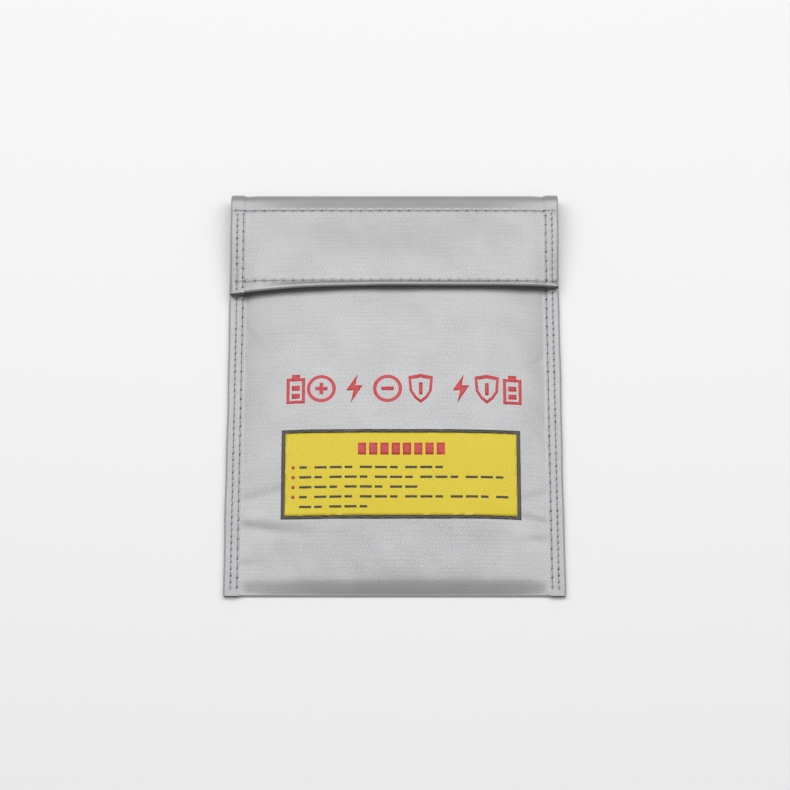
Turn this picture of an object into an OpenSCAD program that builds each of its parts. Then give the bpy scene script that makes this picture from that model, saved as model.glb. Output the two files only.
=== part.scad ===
// Fire-resistant charging pouch for model batteries: a flat envelope of coated glass cloth, folded
// at the bottom, bound along both sides and closed by a hook-and-loop flap that turns over its top.
// It lies on its back. +X is to the right, +Y runs to the top fold and +Z is up, off the table.
// The origin is the middle of the underside. All sizes are in millimetres.

/* [Pouch] */
// Width over the two bound side edges
pouch_w = 180; // [140:5:260]
// Length from the bottom fold to the top fold, with the flap closed
pouch_l = 230; // [190:5:320]
// Height of the front cloth's middle over its side seams
crown_h = 7.4; // [6.5:0.1:8]
// Flatness of the crown: a higher power is flatter in the middle and steeper at the seams
crown_power = 4; // [3.5:0.5:5]

/* [Cloth] */
// Thickness of one layer of coated glass cloth
cloth_t = 0.6; // [0.5:0.05:0.6]
// Air between two layers that lie on each other
layer_gap = 0.1; // [0.1:0.05:0.15]
// Width of the binding strip on each face of a side edge
binding_w = 7.8; // [6:0.2:8]

/* [Flap] */
// Length from the top fold to the flap's free edge
flap_l = 58; // [55:1:70]
// Distance from the top fold down to the mouth of the pocket
mouth_drop = 14; // [13:1:16]
// Height of the top fold's roll, to the middle of its cloth
roll_h = 10.6; // [10:0.1:11]
// Length of the sloping band between the roll and the flap's first row of stitches
band_l = 5.4; // [5:0.2:7]
// Depth of the turned hem along the free edge
hem_l = 7.5; // [6:0.5:8]

/* [Hook and loop] */
// Width of both tapes
tape_w = 25; // [20:1:25]
// Length of both tapes
tape_l = 156; // [100:2:156]
// Thickness of both tapes with their hooks or pile
tape_t = 1.2; // [1:0.1:1.3]
// Air between the hooks and the loops when the flap is closed
tape_gap = 0.5; // [0.5:0.05:0.7]

/* [Stitching] */
// Width of a stitch's thread
thread_w = 0.55; // [0.4:0.05:0.7]
// Stitch pitch of the outer side rows
edge_pitch = 3.6; // [3:0.2:5]
// Stitch pitch of every other row
seam_pitch = 5.3; // [4:0.1:6]

/* [Prints] */
// Width and depth of the printed label over its border
label_size = [127.5, 49.4]; // [80:0.5:130]
// Width of the label's dark border
border_w = 2.1; // [1:0.1:3]
// Width and height of the row of pictograms
title_size = [127, 16.6]; // [80:0.5:130]

/* [Hidden] */

silver = "silver";
thread_grey = "darkgray";
tape_grey = "gainsboro";
ink_red = "firebrick";
ink_yellow = "gold";
ink_dark = "darkslategray";

step_t = cloth_t + layer_gap;                 // one layer up in a stack of cloth
bound_x = pouch_w / 2 - cloth_t - 1;          // where the cloth ends, clear of its binding's bend
seam_x = pouch_w / 2 - binding_w - 1.2;       // where the crown meets the flat side seam
flat_x = seam_x - 3;                          // where the back cloth lies on the table
fold_y = pouch_l / 2 - step_t;                // outer face of both folds
roll_y = fold_y - cloth_t / 2 - roll_h / 2;   // where the back cloth starts to roll over
mouth_y = fold_y - mouth_drop;
flap_end_y = pouch_l / 2 - flap_l;
flap_row_y = roll_y - band_l;                 // first row of stitches on the flap
hem_row_y = flap_end_y + 4;
side_z = step_t * 2 + cloth_t / 2;            // middle of the front cloth in the side seam
stack_h = tape_t * 2 + tape_gap + layer_gap * 3 + cloth_t * 2;  // front cloth to flap cloth
tape_y = flap_end_y + hem_l + 1.5 + tape_w / 2;
print_t = 0.12;
edge_row_x = pouch_w / 2 - 3.7;
seam_row_x = pouch_w / 2 - 7.2;
label_at = [3.5, -48.4];
title_at = [5.2, -0.6];
edge_r = 0.75;                                // middle radius of the hem's rolled edge
roll_gap = 6;                                 // degrees from the roll's outermost line to either half
film_gap = 0.12;                              // air under a film of ink, for the cloth's own facets
tape_thread_h = 0.15;                         // how far a stitch stands out of a tape

// Columns across the cloth, closer together where the crown falls to the seams
crown_cols = [for (k = [-12:12]) seam_x * sin(k * 90 / 12)];
cols = concat([-bound_x, -bound_x + 4], crown_cols, [bound_x - 4, bound_x]);

// Height of the crown over the side seams at x
function crown(x) = crown_h * max(0, 1 - pow(min(abs(x) / seam_x, 1), crown_power));
// Smooth step from 0 to 1
function ease(t) = let (c = min(max(t, 0), 1)) c * c * (3 - 2 * c);
// Middle of the back cloth: on the table, and lifted onto the binding at the sides
function back_z(x) = cloth_t / 2 + step_t * min(max((abs(x) - flat_x) / 4, 0), 1);
// Middle of the front cloth
function front_z(x) = side_z + crown(x);
// Middle of the flap's outer cloth, from the top of the roll down to the hem
function flap_z(x, y) = roll_h + (front_z(x) + stack_h - roll_h)
    * ease((flap_row_y + band_l - y) / band_l);
// Radius of a fold between the back cloth and a cloth at height z
function fold_r(x, z) = (z - back_z(x)) / 2;
// A point on a fold at angle a, from -90 under the cloth to 90 on top of it
function fold_point(x, z, a) = let (r = fold_r(x, z))
    [x, fold_y - cloth_t / 2 - r + r * cos(a), back_z(x) + r + r * sin(a)];
// Direction across a row of points at index i, with the ends clamped
function along(line, i) = line[min(i + 1, len(line) - 1)] - line[max(i - 1, 0)];
// Unit vector
function unit(v) = v / norm(v);
// Normal of a grid of points at row i, column j
function grid_normal(g, i, j) = unit(cross(along(g[i], j), along([for (row = g) row[j]], i)));
// The grid moved along its normals by h
function lifted(g, h) = [for (i = [0:len(g) - 1])
    [for (j = [0:len(g[0]) - 1]) g[i][j] + h * grid_normal(g, i, j)]];

// A layer of cloth of thickness t whose middle is the grid of points g
module cloth(g, t = cloth_t) {
    n = len(g);
    m = len(g[0]);
    top = lifted(g, t / 2);
    low = lifted(g, -t / 2);
    b = n * m;
    skins = [for (i = [0:n - 2], j = [0:m - 2])
        let (p = i * m + j)
        each [
            [p, p + m, p + m + 1], [p, p + m + 1, p + 1],
            [b + p, b + p + m + 1, b + p + m], [b + p, b + p + 1, b + p + m + 1]
        ]];
    ends = [for (j = [0:m - 2])
        let (p = j, q = (n - 1) * m + j)
        each [
            [p, p + 1, b + p + 1], [p, b + p + 1, b + p],
            [q + 1, q, b + q], [q + 1, b + q, b + q + 1]
        ]];
    sides = [for (i = [0:n - 2])
        let (p = i * m, q = i * m + m - 1)
        each [
            [p + m, p, b + p], [p + m, b + p, b + p + m],
            [q, q + m, b + q + m], [q, b + q + m, b + q]
        ]];
    polyhedron(points = concat([for (row = top) each row], [for (row = low) each row]),
        faces = concat(skins, ends, sides), convexity = 8);
}

// The folds and the flap are rows of points, each row across the whole width.
function flap_line(x) = concat(
    [for (a = [roll_gap:12:90]) fold_point(x, roll_h, a)],
    [for (k = [1:6]) let (y = flap_row_y + band_l * (1 - k / 6)) [x, y, flap_z(x, y)]],
    [for (y = [flap_row_y - 12, hem_row_y, flap_end_y + cloth_t / 2 + edge_r]) [x, y, flap_z(x, y)]]);
function hem_line(x) = let (y = flap_end_y + cloth_t / 2 + edge_r, z = flap_z(x, y) - edge_r) concat(
    [for (a = [60:-30:-90]) [x, y - edge_r * cos(a), z + edge_r * sin(a)]],
    [[x, flap_end_y + hem_l, z - edge_r]]);
function bottom_line(x) = concat(
    [[x, -roll_y, back_z(x)]],
    [for (a = [-90:15:90]) let (p = fold_point(x, front_z(x), a)) [x, -p[1], p[2]]],
    [for (y = [-fold_y + roll_h, 0, mouth_y]) [x, y, front_z(x)]]);

// The grid whose row i holds point i of every column's line
function rows_of(lines) = [for (i = [0:len(lines[0]) - 1]) [for (line = lines) line[i]]];

// Flat back of the pouch: lies on the table and rises onto the bindings at the sides
module back_panel() {
    color(silver)
    translate([0, roll_y - layer_gap, 0])
    rotate([90, 0, 0])
    linear_extrude(2 * (roll_y - layer_gap))
    polygon([
        [-flat_x, 0], [flat_x, 0], [flat_x + 4, step_t], [bound_x, step_t],
        [bound_x, step_t + cloth_t], [flat_x + 4, step_t + cloth_t], [flat_x, cloth_t],
        [-flat_x, cloth_t], [-flat_x - 4, step_t + cloth_t], [-bound_x, step_t + cloth_t],
        [-bound_x, step_t], [-flat_x - 4, step_t]
    ]);
}

// Front of the pouch, with the bottom fold that joins it to the back
module front_panel() {
    color(silver) cloth(rows_of([for (x = cols) bottom_line(x)]));
}

// Turned edge of the mouth, sewn inside the front cloth
module mouth_hem() {
    inner = [for (x = cols) if (abs(x) < seam_x - 2) x];
    color(silver)
    cloth([for (y = [mouth_y - 10, mouth_y]) [for (x = inner) [x, y, front_z(x) - step_t]]]);
}

// Lower half of the roll in which the back cloth turns over to become the flap
module top_fold() {
    color(silver)
    cloth(rows_of([for (x = cols) concat(
        [[x, roll_y, back_z(x)]],
        [for (a = [-90:12:-roll_gap]) fold_point(x, roll_h, a)])]));
}

// Cross-section of a binding: two legs round the edge of a stack whose middle is at z
function binding_section(side, half_h, z) = concat(
    [for (x = [pouch_w / 2 - binding_w, pouch_w / 2 - 3]) [side * x, z + half_h]],
    [for (a = [90:-30:-90])
        [side * (pouch_w / 2 - cloth_t / 2 - half_h * (1 - cos(a))), z + half_h * sin(a)]],
    [for (x = [pouch_w / 2 - 3, pouch_w / 2 - binding_w]) [side * x, z - half_h]]);

// Binding swept over stations, each [y, z of the middle, half height, angle of its normal]
module binding(side, stations) {
    color(silver)
    cloth([for (s = stations)
        [for (p = binding_section(side, s[2], 0))
            [p[0], s[0] + p[1] * sin(s[3]), s[1] + p[1] * cos(s[3])]]]);
}

// Half heights of a binding over one, two and three layers, to the middle of its legs
single_h = step_t;
double_h = step_t * 1.5;
hem_h = edge_r + step_t;

// Station of a binding on the roll at angle a
function roll_station(a) = let (p = fold_point(bound_x, roll_h, a)) [p[1], p[2], single_h, 90 - a];

// Stations of the body's binding: the side seam, the back cloth beside the mouth, part of the roll
function side_stations() = concat(
    [for (y = [-pouch_l / 2, mouth_y - 1]) [y, cloth_t / 2 + double_h, double_h, 180]],
    [[mouth_y + 1, cloth_t / 2 + single_h, single_h, 180]],
    [for (a = [-90:12:-30]) roll_station(a)]);

module side_binding(side) { binding(side, side_stations()); }

// Tilt of the flap's side edge at y
function side_lean(y) = -atan((flap_z(bound_x, y + 0.2) - flap_z(bound_x, y - 0.2)) / 0.4);

// Stations of the flap's binding: part of the roll, the band, the lined edge and the hem
function flap_stations() = let (x = bound_x) concat(
    [for (a = [18:12:90]) roll_station(a)],
    [for (k = [1:6]) let (y = flap_row_y + band_l * (1 - k / 6))
        [y, flap_z(x, y) - step_t / 2 * k / 6, single_h + (double_h - single_h) * k / 6, side_lean(y)]],
    let (y = flap_end_y + hem_l + 3) [[y, flap_z(x, y) - step_t / 2, double_h, 0]],
    [for (y = [flap_end_y + hem_l + 1, flap_end_y - 0.2]) [y, flap_z(x, y) - edge_r, hem_h, 0]]);

// Outer cloth of the flap with its rolled and turned hem
module flap_outer() {
    color(silver)
    cloth(rows_of([for (x = cols) concat(flap_line(x), hem_line(x))]));
}

// Second layer of the flap, which the hook tape is sewn to
module flap_lining() {
    color(silver)
    cloth([for (y = [flap_end_y + hem_l + 0.6, tape_y, flap_row_y - 1.5])
        [for (x = cols) [x, y, flap_z(x, y) - step_t]]]);
}

// A strip of tape that follows the crown, its middle h above the front cloth's middle
module tape(h) {
    tape_cols = [for (k = [-10:10]) tape_l / 20 * k];
    cloth([for (y = [tape_y - tape_w / 2, tape_y + tape_w / 2])
        [for (x = tape_cols) [x, y, front_z(x) + h]]], tape_t);
}

module loop_tape() { color(tape_grey) tape(cloth_t / 2 + layer_gap + tape_t / 2); }
module hook_tape() {
    color(tape_grey) tape(cloth_t / 2 + layer_gap + tape_t * 1.5 + tape_gap);
}

// One stitch of length l and height h lying at point p, turned by a about Z and tilted by lean
module stitch(p, l, h, a, lean) {
    translate(p) rotate([0, 0, a]) rotate([0, -lean, 0])
    translate([-l / 2, -thread_w / 2, 0]) cube([l, thread_w, h]);
}

// Row of stitches along X at y, on the surface whose height is top(x)
module stitch_row_x(y, x_end, pitch, top, h = thread_w * 0.6) {
    count = floor(2 * x_end / pitch);
    color(thread_grey)
    for (k = [0:count - 1])
        let (x = (k - (count - 1) / 2) * pitch, slope = (top(x + 1) - top(x - 1)) / 2)
        stitch([x, y, top(x) + 0.07], pitch * 0.72, h, 0, atan(slope));
}

// Row of stitches along Y at x, on the surface whose height is top(y)
module stitch_row_y(x, y_low, y_high, pitch, top) {
    count = floor((y_high - y_low) / pitch);
    color(thread_grey)
    for (k = [0:count - 1])
        let (y = y_low + (k + 0.5) * pitch, slope = (top(y + 1) - top(y - 1)) / 2)
        stitch([x, y, top(y) + 0.07], pitch * 0.72, thread_w * 0.6, 90, atan(slope));
}

seam_top_z = step_t * 3 + cloth_t;
seam_top = function(y) seam_top_z;
flap_edge_top = function(y) flap_z(bound_x, y) + cloth_t * 1.5 + layer_gap;

// One side row on the pouch, from just above the bottom fold to the mouth
module side_row(x, pitch) { stitch_row_y(x, -pouch_l / 2 + 4, mouth_y - 3, pitch, seam_top); }

module left_edge_stitches() { side_row(-edge_row_x, edge_pitch); }
module right_edge_stitches() { side_row(edge_row_x, edge_pitch); }
module left_seam_stitches() { side_row(-seam_row_x, seam_pitch); }
module right_seam_stitches() { side_row(seam_row_x, seam_pitch); }

module mouth_stitches() {
    stitch_row_x(mouth_y - 8, seam_x - 6, seam_pitch, function(x) front_z(x) + cloth_t / 2);
}

// Two rows along a tape's long edges, this far in, on the face whose height is top(x)
module tape_rows(inset, top) {
    for (s = [-1, 1])
        stitch_row_x(tape_y + s * (tape_w / 2 - inset), tape_l / 2 - 2, seam_pitch, top, tape_thread_h);
}

// Top face of the loop tape
function loop_top(x) = front_z(x) + cloth_t / 2 + layer_gap + tape_t;

module loop_tape_stitches() { tape_rows(1.6, function(x) loop_top(x)); }

// The hook tape's stitches are under its face, which looks down at the loops, and further in
module hook_tape_stitches() {
    tape_rows(2.8, function(x) loop_top(x) + tape_gap - tape_thread_h - 0.22);
}

// Top face of the flap's outer cloth along one row of stitches
module flap_row(y) {
    stitch_row_x(y, pouch_w / 2 - binding_w - 1, seam_pitch, function(x) flap_z(x, y) + cloth_t / 2);
}
module flap_top_stitches() { flap_row(flap_row_y); }
module flap_hem_stitches() { flap_row(hem_row_y); }

// Both side rows of the flap, on its binding
module flap_side_rows(side) {
    stitch_row_y(side * edge_row_x, flap_end_y + 2, flap_row_y - 1, edge_pitch, flap_edge_top);
    stitch_row_y(side * seam_row_x, flap_end_y + 2, flap_row_y - 1, seam_pitch, flap_edge_top);
}
module flap_left_stitches() { flap_side_rows(-1); }
module flap_right_stitches() { flap_side_rows(1); }

// A film of ink over the area size at c, lying on the front cloth
module ink_film(c, size) {
    film_cols = [for (k = [-8:8]) c[0] + size[0] / 16 * k];
    cloth([for (y = [c[1] - size[1] / 2, c[1] + size[1] / 2])
        [for (x = film_cols) [x, y, front_z(x) + (cloth_t + print_t) / 2 + film_gap]]], print_t);
}

// The 2D children as ink on the front cloth, cut from a film over the area size at c
module printed(c, size) {
    intersection() {
        ink_film(c, size);
        translate([c[0], c[1], 0]) linear_extrude(crown_h + 8) children();
    }
}

// Pictograms for the title row, each about as high as the row and centred on the origin
module cell_mark(h) {
    difference() {
        translate([-h * 0.3, -h / 2]) square([h * 0.6, h * 0.88]);
        translate([-h * 0.2, -h * 0.4]) square([h * 0.4, h * 0.68]);
    }
    translate([-h * 0.13, h * 0.37]) square([h * 0.26, h * 0.13]);
    for (k = [0:1]) translate([-h * 0.13, -h * 0.33 + k * h * 0.28]) square([h * 0.26, h * 0.17]);
}
module bolt_mark(h) {
    polygon(h * [[0.1, 0.5], [-0.27, -0.06], [-0.03, -0.06], [-0.12, -0.5], [0.27, 0.12], [0.03, 0.12]]);
}
module ring_mark(h, cross) {
    difference() {
        circle(h * 0.47, $fn = 48);
        circle(h * 0.36, $fn = 48);
    }
    square([h * 0.4, h * 0.12], center = true);
    if (cross) square([h * 0.12, h * 0.4], center = true);
}
module shield_mark(h) {
    outline = [[-0.4, 0.42], [0, 0.5], [0.4, 0.42], [0.36, -0.08], [0.2, -0.34], [0, -0.5],
        [-0.2, -0.34], [-0.36, -0.08]];
    difference() {
        polygon(h * outline);
        polygon(h * 0.76 * outline);
    }
    square([h * 0.12, h * 0.42], center = true);
}

// Row of generic battery pictograms in red
module title_print() {
    h = title_size[1];
    half = title_size[0] / 2;
    color(ink_red) printed(title_at, title_size) {
        for (x = [-half + h * 0.32, half - h * 0.32]) translate([x, 0]) cell_mark(h);
        for (x = [-half * 0.42, half * 0.48]) translate([x, 0]) bolt_mark(h);
        for (k = [0, 1]) translate([-half * (0.7 - 0.56 * k), 0]) ring_mark(h, k == 0);
        for (x = [half * 0.14, half * 0.7]) translate([x, 0]) shield_mark(h);
    }
}

// Yellow field of the printed label
module label_field() {
    color(ink_yellow) ink_film(label_at, label_size - 2 * [border_w, border_w]);
}

// Dark border round the field
module label_border() {
    color(ink_dark) printed(label_at, label_size) difference() {
        square(label_size, center = true);
        square(label_size - 2 * [border_w - 0.05, border_w - 0.05], center = true);
    }
}

// Marks printed over the yellow field, a second film above the first
module over_print() {
    translate([0, 0, print_t + 0.04]) printed(label_at, label_size - 2 * [3, 3]) children();
}

line_h = 5.4;
line_ends = [0.72, 1, 0.63, 1, 0.42];   // share of the full line that each row of dashes fills

// Red heading blocks and the four bullets
module label_heading() {
    color(ink_red) over_print() {
        for (k = [0:7]) translate([-23 + k * 6, label_size[1] / 2 - 14.2]) square([4.4, 6.6]);
        for (k = [0:3]) translate([-label_size[0] / 2 + 6.4, 3.6 - k * line_h])
            circle(0.95, $fn = 16);
    }
}

// Dark word-length dashes in place of lines of writing
module label_lines() {
    text_w = label_size[0] - 15;
    color(ink_dark) over_print()
    for (row = [0:4], word = [0:13])
        let (pitch = text_w / 14, x = -text_w / 2 + 2.2 + word * pitch)
        if (word + 1 <= 14 * line_ends[row])
            translate([x, 3.0 - row * line_h]) square([pitch * (word % 3 == row % 3 ? 0.5 : 0.8), 1.3]);
}

back_panel();
front_panel();
mouth_hem();
top_fold();
side_binding(-1);  // left_side_binding
side_binding(1);  // right_side_binding
loop_tape();
left_edge_stitches();
left_seam_stitches();
right_edge_stitches();
right_seam_stitches();
mouth_stitches();
loop_tape_stitches();
title_print();
label_field();
label_border();
label_heading();
label_lines();
flap_outer();
flap_lining();
binding(-1, flap_stations());  // flap_left_binding
binding(1, flap_stations());  // flap_right_binding
hook_tape();
flap_top_stitches();
flap_hem_stitches();
flap_left_stitches();
flap_right_stitches();
hook_tape_stitches();
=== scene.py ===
"""Charging pouch for model batteries, sewn from coated glass cloth.

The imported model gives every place. This script gives each layer its real form and finish: the
cloth with its ripples, creases and needle dimples, the bindings, the threads, the hooks and loops
of the closure, and the inks. Forms are worked out in millimetres and become metres in a mesh.
"""

import logging
import math
from dataclasses import dataclass
from enum import Enum
from typing import Any, Callable, Sequence

import bmesh
import bpy
import numpy as np
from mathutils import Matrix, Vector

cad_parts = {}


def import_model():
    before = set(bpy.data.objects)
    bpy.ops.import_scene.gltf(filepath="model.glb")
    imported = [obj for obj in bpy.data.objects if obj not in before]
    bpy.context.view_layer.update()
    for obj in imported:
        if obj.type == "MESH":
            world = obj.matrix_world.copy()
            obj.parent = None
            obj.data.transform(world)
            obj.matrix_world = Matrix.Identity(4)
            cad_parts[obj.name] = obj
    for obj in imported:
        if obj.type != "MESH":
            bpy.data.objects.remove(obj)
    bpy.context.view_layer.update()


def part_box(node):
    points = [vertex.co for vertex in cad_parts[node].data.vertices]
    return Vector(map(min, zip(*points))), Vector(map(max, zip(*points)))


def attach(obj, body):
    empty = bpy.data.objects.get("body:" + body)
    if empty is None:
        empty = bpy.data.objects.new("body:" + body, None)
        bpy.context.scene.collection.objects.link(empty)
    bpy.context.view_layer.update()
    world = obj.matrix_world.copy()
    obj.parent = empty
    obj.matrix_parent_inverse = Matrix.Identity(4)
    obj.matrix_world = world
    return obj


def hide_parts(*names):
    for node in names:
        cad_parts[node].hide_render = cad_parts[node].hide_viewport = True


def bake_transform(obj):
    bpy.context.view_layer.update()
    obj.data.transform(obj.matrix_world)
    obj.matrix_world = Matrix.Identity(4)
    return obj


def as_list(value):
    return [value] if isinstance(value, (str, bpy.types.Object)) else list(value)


LOG = logging.getLogger("pouch")
MM = 0.001
CLOTH_T = 0.6
STEP = 0.7          # one layer of cloth and the air under it
SEAM_PITCH = 5.3    # distance between two needle holes, but in the outer side rows
Array = np.ndarray
Surface = Callable[[Array, Array], Array]
Colour = tuple[float, float, float, float]


class Side(Enum):
    """The two side edges of the pouch."""

    LEFT = -1
    RIGHT = 1


class Body(Enum):
    """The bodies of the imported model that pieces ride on."""

    BAG = "bag"
    FLAP = "flap"


class Held(Enum):
    """How a sheet of cloth is held."""

    FOLDED = "folded"
    LAID = "laid"


# ---------------------------------------------------------------- small helpers

def smooth(t: Array | float) -> Array:
    """Smooth step of t from 0 to 1."""
    t = np.clip(t, 0.0, 1.0)
    return t * t * (3 - 2 * t)


def bell(t: Array | float) -> Array:
    """Bell curve of t, 1 at 0 and nearly 0 past 2.5."""
    return np.exp(-0.5 * np.square(t))


def spread(low: float, high: float, step: float) -> Array:
    """Evenly spaced values from low to high, about step apart."""
    return np.linspace(low, high, max(2, int(round(abs(high - low) / step)) + 1))


def box_mm(node: str) -> tuple[Array, Array]:
    """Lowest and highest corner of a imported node, in millimetres."""
    low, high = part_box(node)
    return np.array(low) / MM, np.array(high) / MM


def linear(hex_colour: str) -> Colour:
    """Turn an sRGB hex colour such as '#c8c8ca' into linear RGBA.

    Args:
        hex_colour: six hex digits after a hash sign.

    Returns:
        Red, green, blue and an alpha of 1.
    """
    parts = [int(hex_colour[i:i + 2], 16) / 255 for i in (1, 3, 5)]
    red, green, blue = (p / 12.92 if p <= 0.04045 else ((p + 0.055) / 1.055) ** 2.4 for p in parts)
    return red, green, blue, 1.0


def add_node(tree: bpy.types.NodeTree, kind: str, ins: dict[int | str, Any] | Sequence[Any] = (),
             **settings: Any) -> bpy.types.Node:
    """Add a node with its settings, values and links.

    Args:
        tree: the tree to add to.
        kind: the node's type name.
        ins: inputs by name or index, or in order; an output socket is linked, a value is set.
        settings: attributes of the node, such as operation.

    Returns:
        The new node.
    """
    made = tree.nodes.new(kind)
    for key, value in settings.items():
        setattr(made, key, value)
    for key, value in ins.items() if isinstance(ins, dict) else enumerate(ins):
        if isinstance(value, bpy.types.NodeSocket):
            tree.links.new(value, made.inputs[key])
        else:
            made.inputs[key].default_value = value
    return made


def linked(name: str, mesh: bpy.types.Mesh) -> bpy.types.Object:
    """Put a mesh in the scene as an object at the origin.

    Args:
        name: name of the object.
        mesh: its mesh, with its place in it.

    Returns:
        The object.
    """
    made = bpy.data.objects.new(name, mesh)
    bpy.context.scene.collection.objects.link(made)
    return made


def sheet_object(name: str, grid: Array, uv: Array,
                 thickness: Array | float = CLOTH_T) -> bpy.types.Object:
    """Make a closed sheet of cloth from its middle surface.

    Args:
        name: name of the object.
        grid: n by m points in millimetres, whose normals point out of the sheet's top.
        uv: n by m places on the flat cloth, in millimetres.
        thickness: from skin to skin, in millimetres, alike all over or for each point.

    Returns:
        The object, with the flat places in a UV map named Cloth.
    """
    normal = np.cross(np.gradient(grid, axis=1), np.gradient(grid, axis=0))
    normal /= np.maximum(np.linalg.norm(normal, axis=2, keepdims=True), 1e-9)
    half = normal * np.broadcast_to(thickness, grid.shape[:2])[..., None] / 2
    points = np.concatenate([(grid + half).reshape(-1, 3), (grid - half).reshape(-1, 3)]) * MM
    n, m = grid.shape[:2]
    index = np.arange(n * m).reshape(n, m)
    a, b, c, d = index[:-1, :-1], index[:-1, 1:], index[1:, 1:], index[1:, :-1]
    low = n * m
    quads = [np.stack([a, b, c, d], -1).reshape(-1, 4),
             np.stack([a, d, c, b], -1).reshape(-1, 4) + low]
    for rim in (index[0, :], index[::-1, 0], index[-1, ::-1], index[:, -1]):
        quads.append(np.stack([rim[1:], rim[:-1], rim[:-1] + low, rim[1:] + low], -1))
    faces = np.concatenate(quads)
    mesh = bpy.data.meshes.new(name)
    mesh.from_pydata(points.tolist(), [], faces.tolist())
    places = np.tile(uv.reshape(-1, 2), (2, 1))[faces.ravel()]
    layer = mesh.uv_layers.new(name="Cloth")
    layer.data.foreach_set("uv", places.astype(np.float32).ravel())
    mesh.polygons.foreach_set("use_smooth", [True] * len(mesh.polygons))
    mesh.set_sharp_from_angle(angle=math.radians(60))
    mesh.update()
    return linked(name, mesh)


def flat_places(across: Array, grid: Array) -> Array:
    """Flat places of a grid: the columns' own places and the length along the middle column.

    Args:
        across: the m columns' places across the cloth.
        grid: n by m points.

    Returns:
        n by m pairs, in millimetres.
    """
    middle = grid[:, grid.shape[1] // 2]
    length = np.concatenate([[0], np.cumsum(np.linalg.norm(np.diff(middle, axis=0), axis=1))])
    return np.stack(np.broadcast_arrays(across[None, :], length[:, None]), -1)


# ---------------------------------------------------------------- finishes

def start_material(name: str) -> tuple[bpy.types.Material, bpy.types.NodeTree, bpy.types.Node]:
    """Start a material, and give it with its tree and its main shader.

    Args:
        name: name of the material.

    Returns:
        The material, its node tree and its Principled shader.
    """
    made = bpy.data.materials.new(name)
    made.use_nodes = True
    return made, made.node_tree, made.node_tree.nodes["Principled BSDF"]


def weave_height(tree: bpy.types.NodeTree, places: bpy.types.NodeSocket, tick_mm: float,
                 band_mm: float) -> bpy.types.NodeSocket:
    """Height of a broken twill, whose yarns slant one way in one band and back in the next.

    Args:
        tree: the material's tree.
        places: places on the flat cloth, in millimetres.
        tick_mm: distance between two yarns along a band.
        band_mm: height of a band.

    Returns:
        A socket with the height, 0 in the grooves and 1 on the yarns.
    """
    slant_ticks = 1.1       # a yarn leans by this many ticks on its way through a band
    flat = add_node(tree, "ShaderNodeSeparateXYZ", (places,))
    band = add_node(tree, "ShaderNodeMath", (flat.outputs["Y"], band_mm), operation="DIVIDE")
    swing = add_node(tree, "ShaderNodeMath", (band.outputs[0], 1.0), operation="PINGPONG")
    slant = add_node(tree, "ShaderNodeMath", (swing.outputs[0], slant_ticks),
                     operation="MULTIPLY")
    ticks = add_node(tree, "ShaderNodeMath", (flat.outputs["X"], tick_mm), operation="DIVIDE")
    phase = add_node(tree, "ShaderNodeMath", (ticks.outputs[0], slant.outputs[0]), operation="ADD")
    turn = add_node(tree, "ShaderNodeMath", (phase.outputs[0], math.tau), operation="MULTIPLY")
    wave = add_node(tree, "ShaderNodeMath", (turn.outputs[0],), operation="SINE")
    yarn = add_node(tree, "ShaderNodeMapRange", {"Value": wave.outputs[0], "From Min": -0.9,
                                                 "From Max": 0.75})
    rows = add_node(tree, "ShaderNodeMath", (band.outputs[0], math.tau), operation="MULTIPLY")
    row_wave = add_node(tree, "ShaderNodeMath", (rows.outputs[0],), operation="COSINE")
    lift = add_node(tree, "ShaderNodeMapRange", {"Value": row_wave.outputs[0], "From Min": -1.0,
                                                 "To Min": 0.72})
    return add_node(tree, "ShaderNodeMath", (yarn.outputs["Result"], lift.outputs["Result"]),
                    operation="MULTIPLY").outputs[0]


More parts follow.
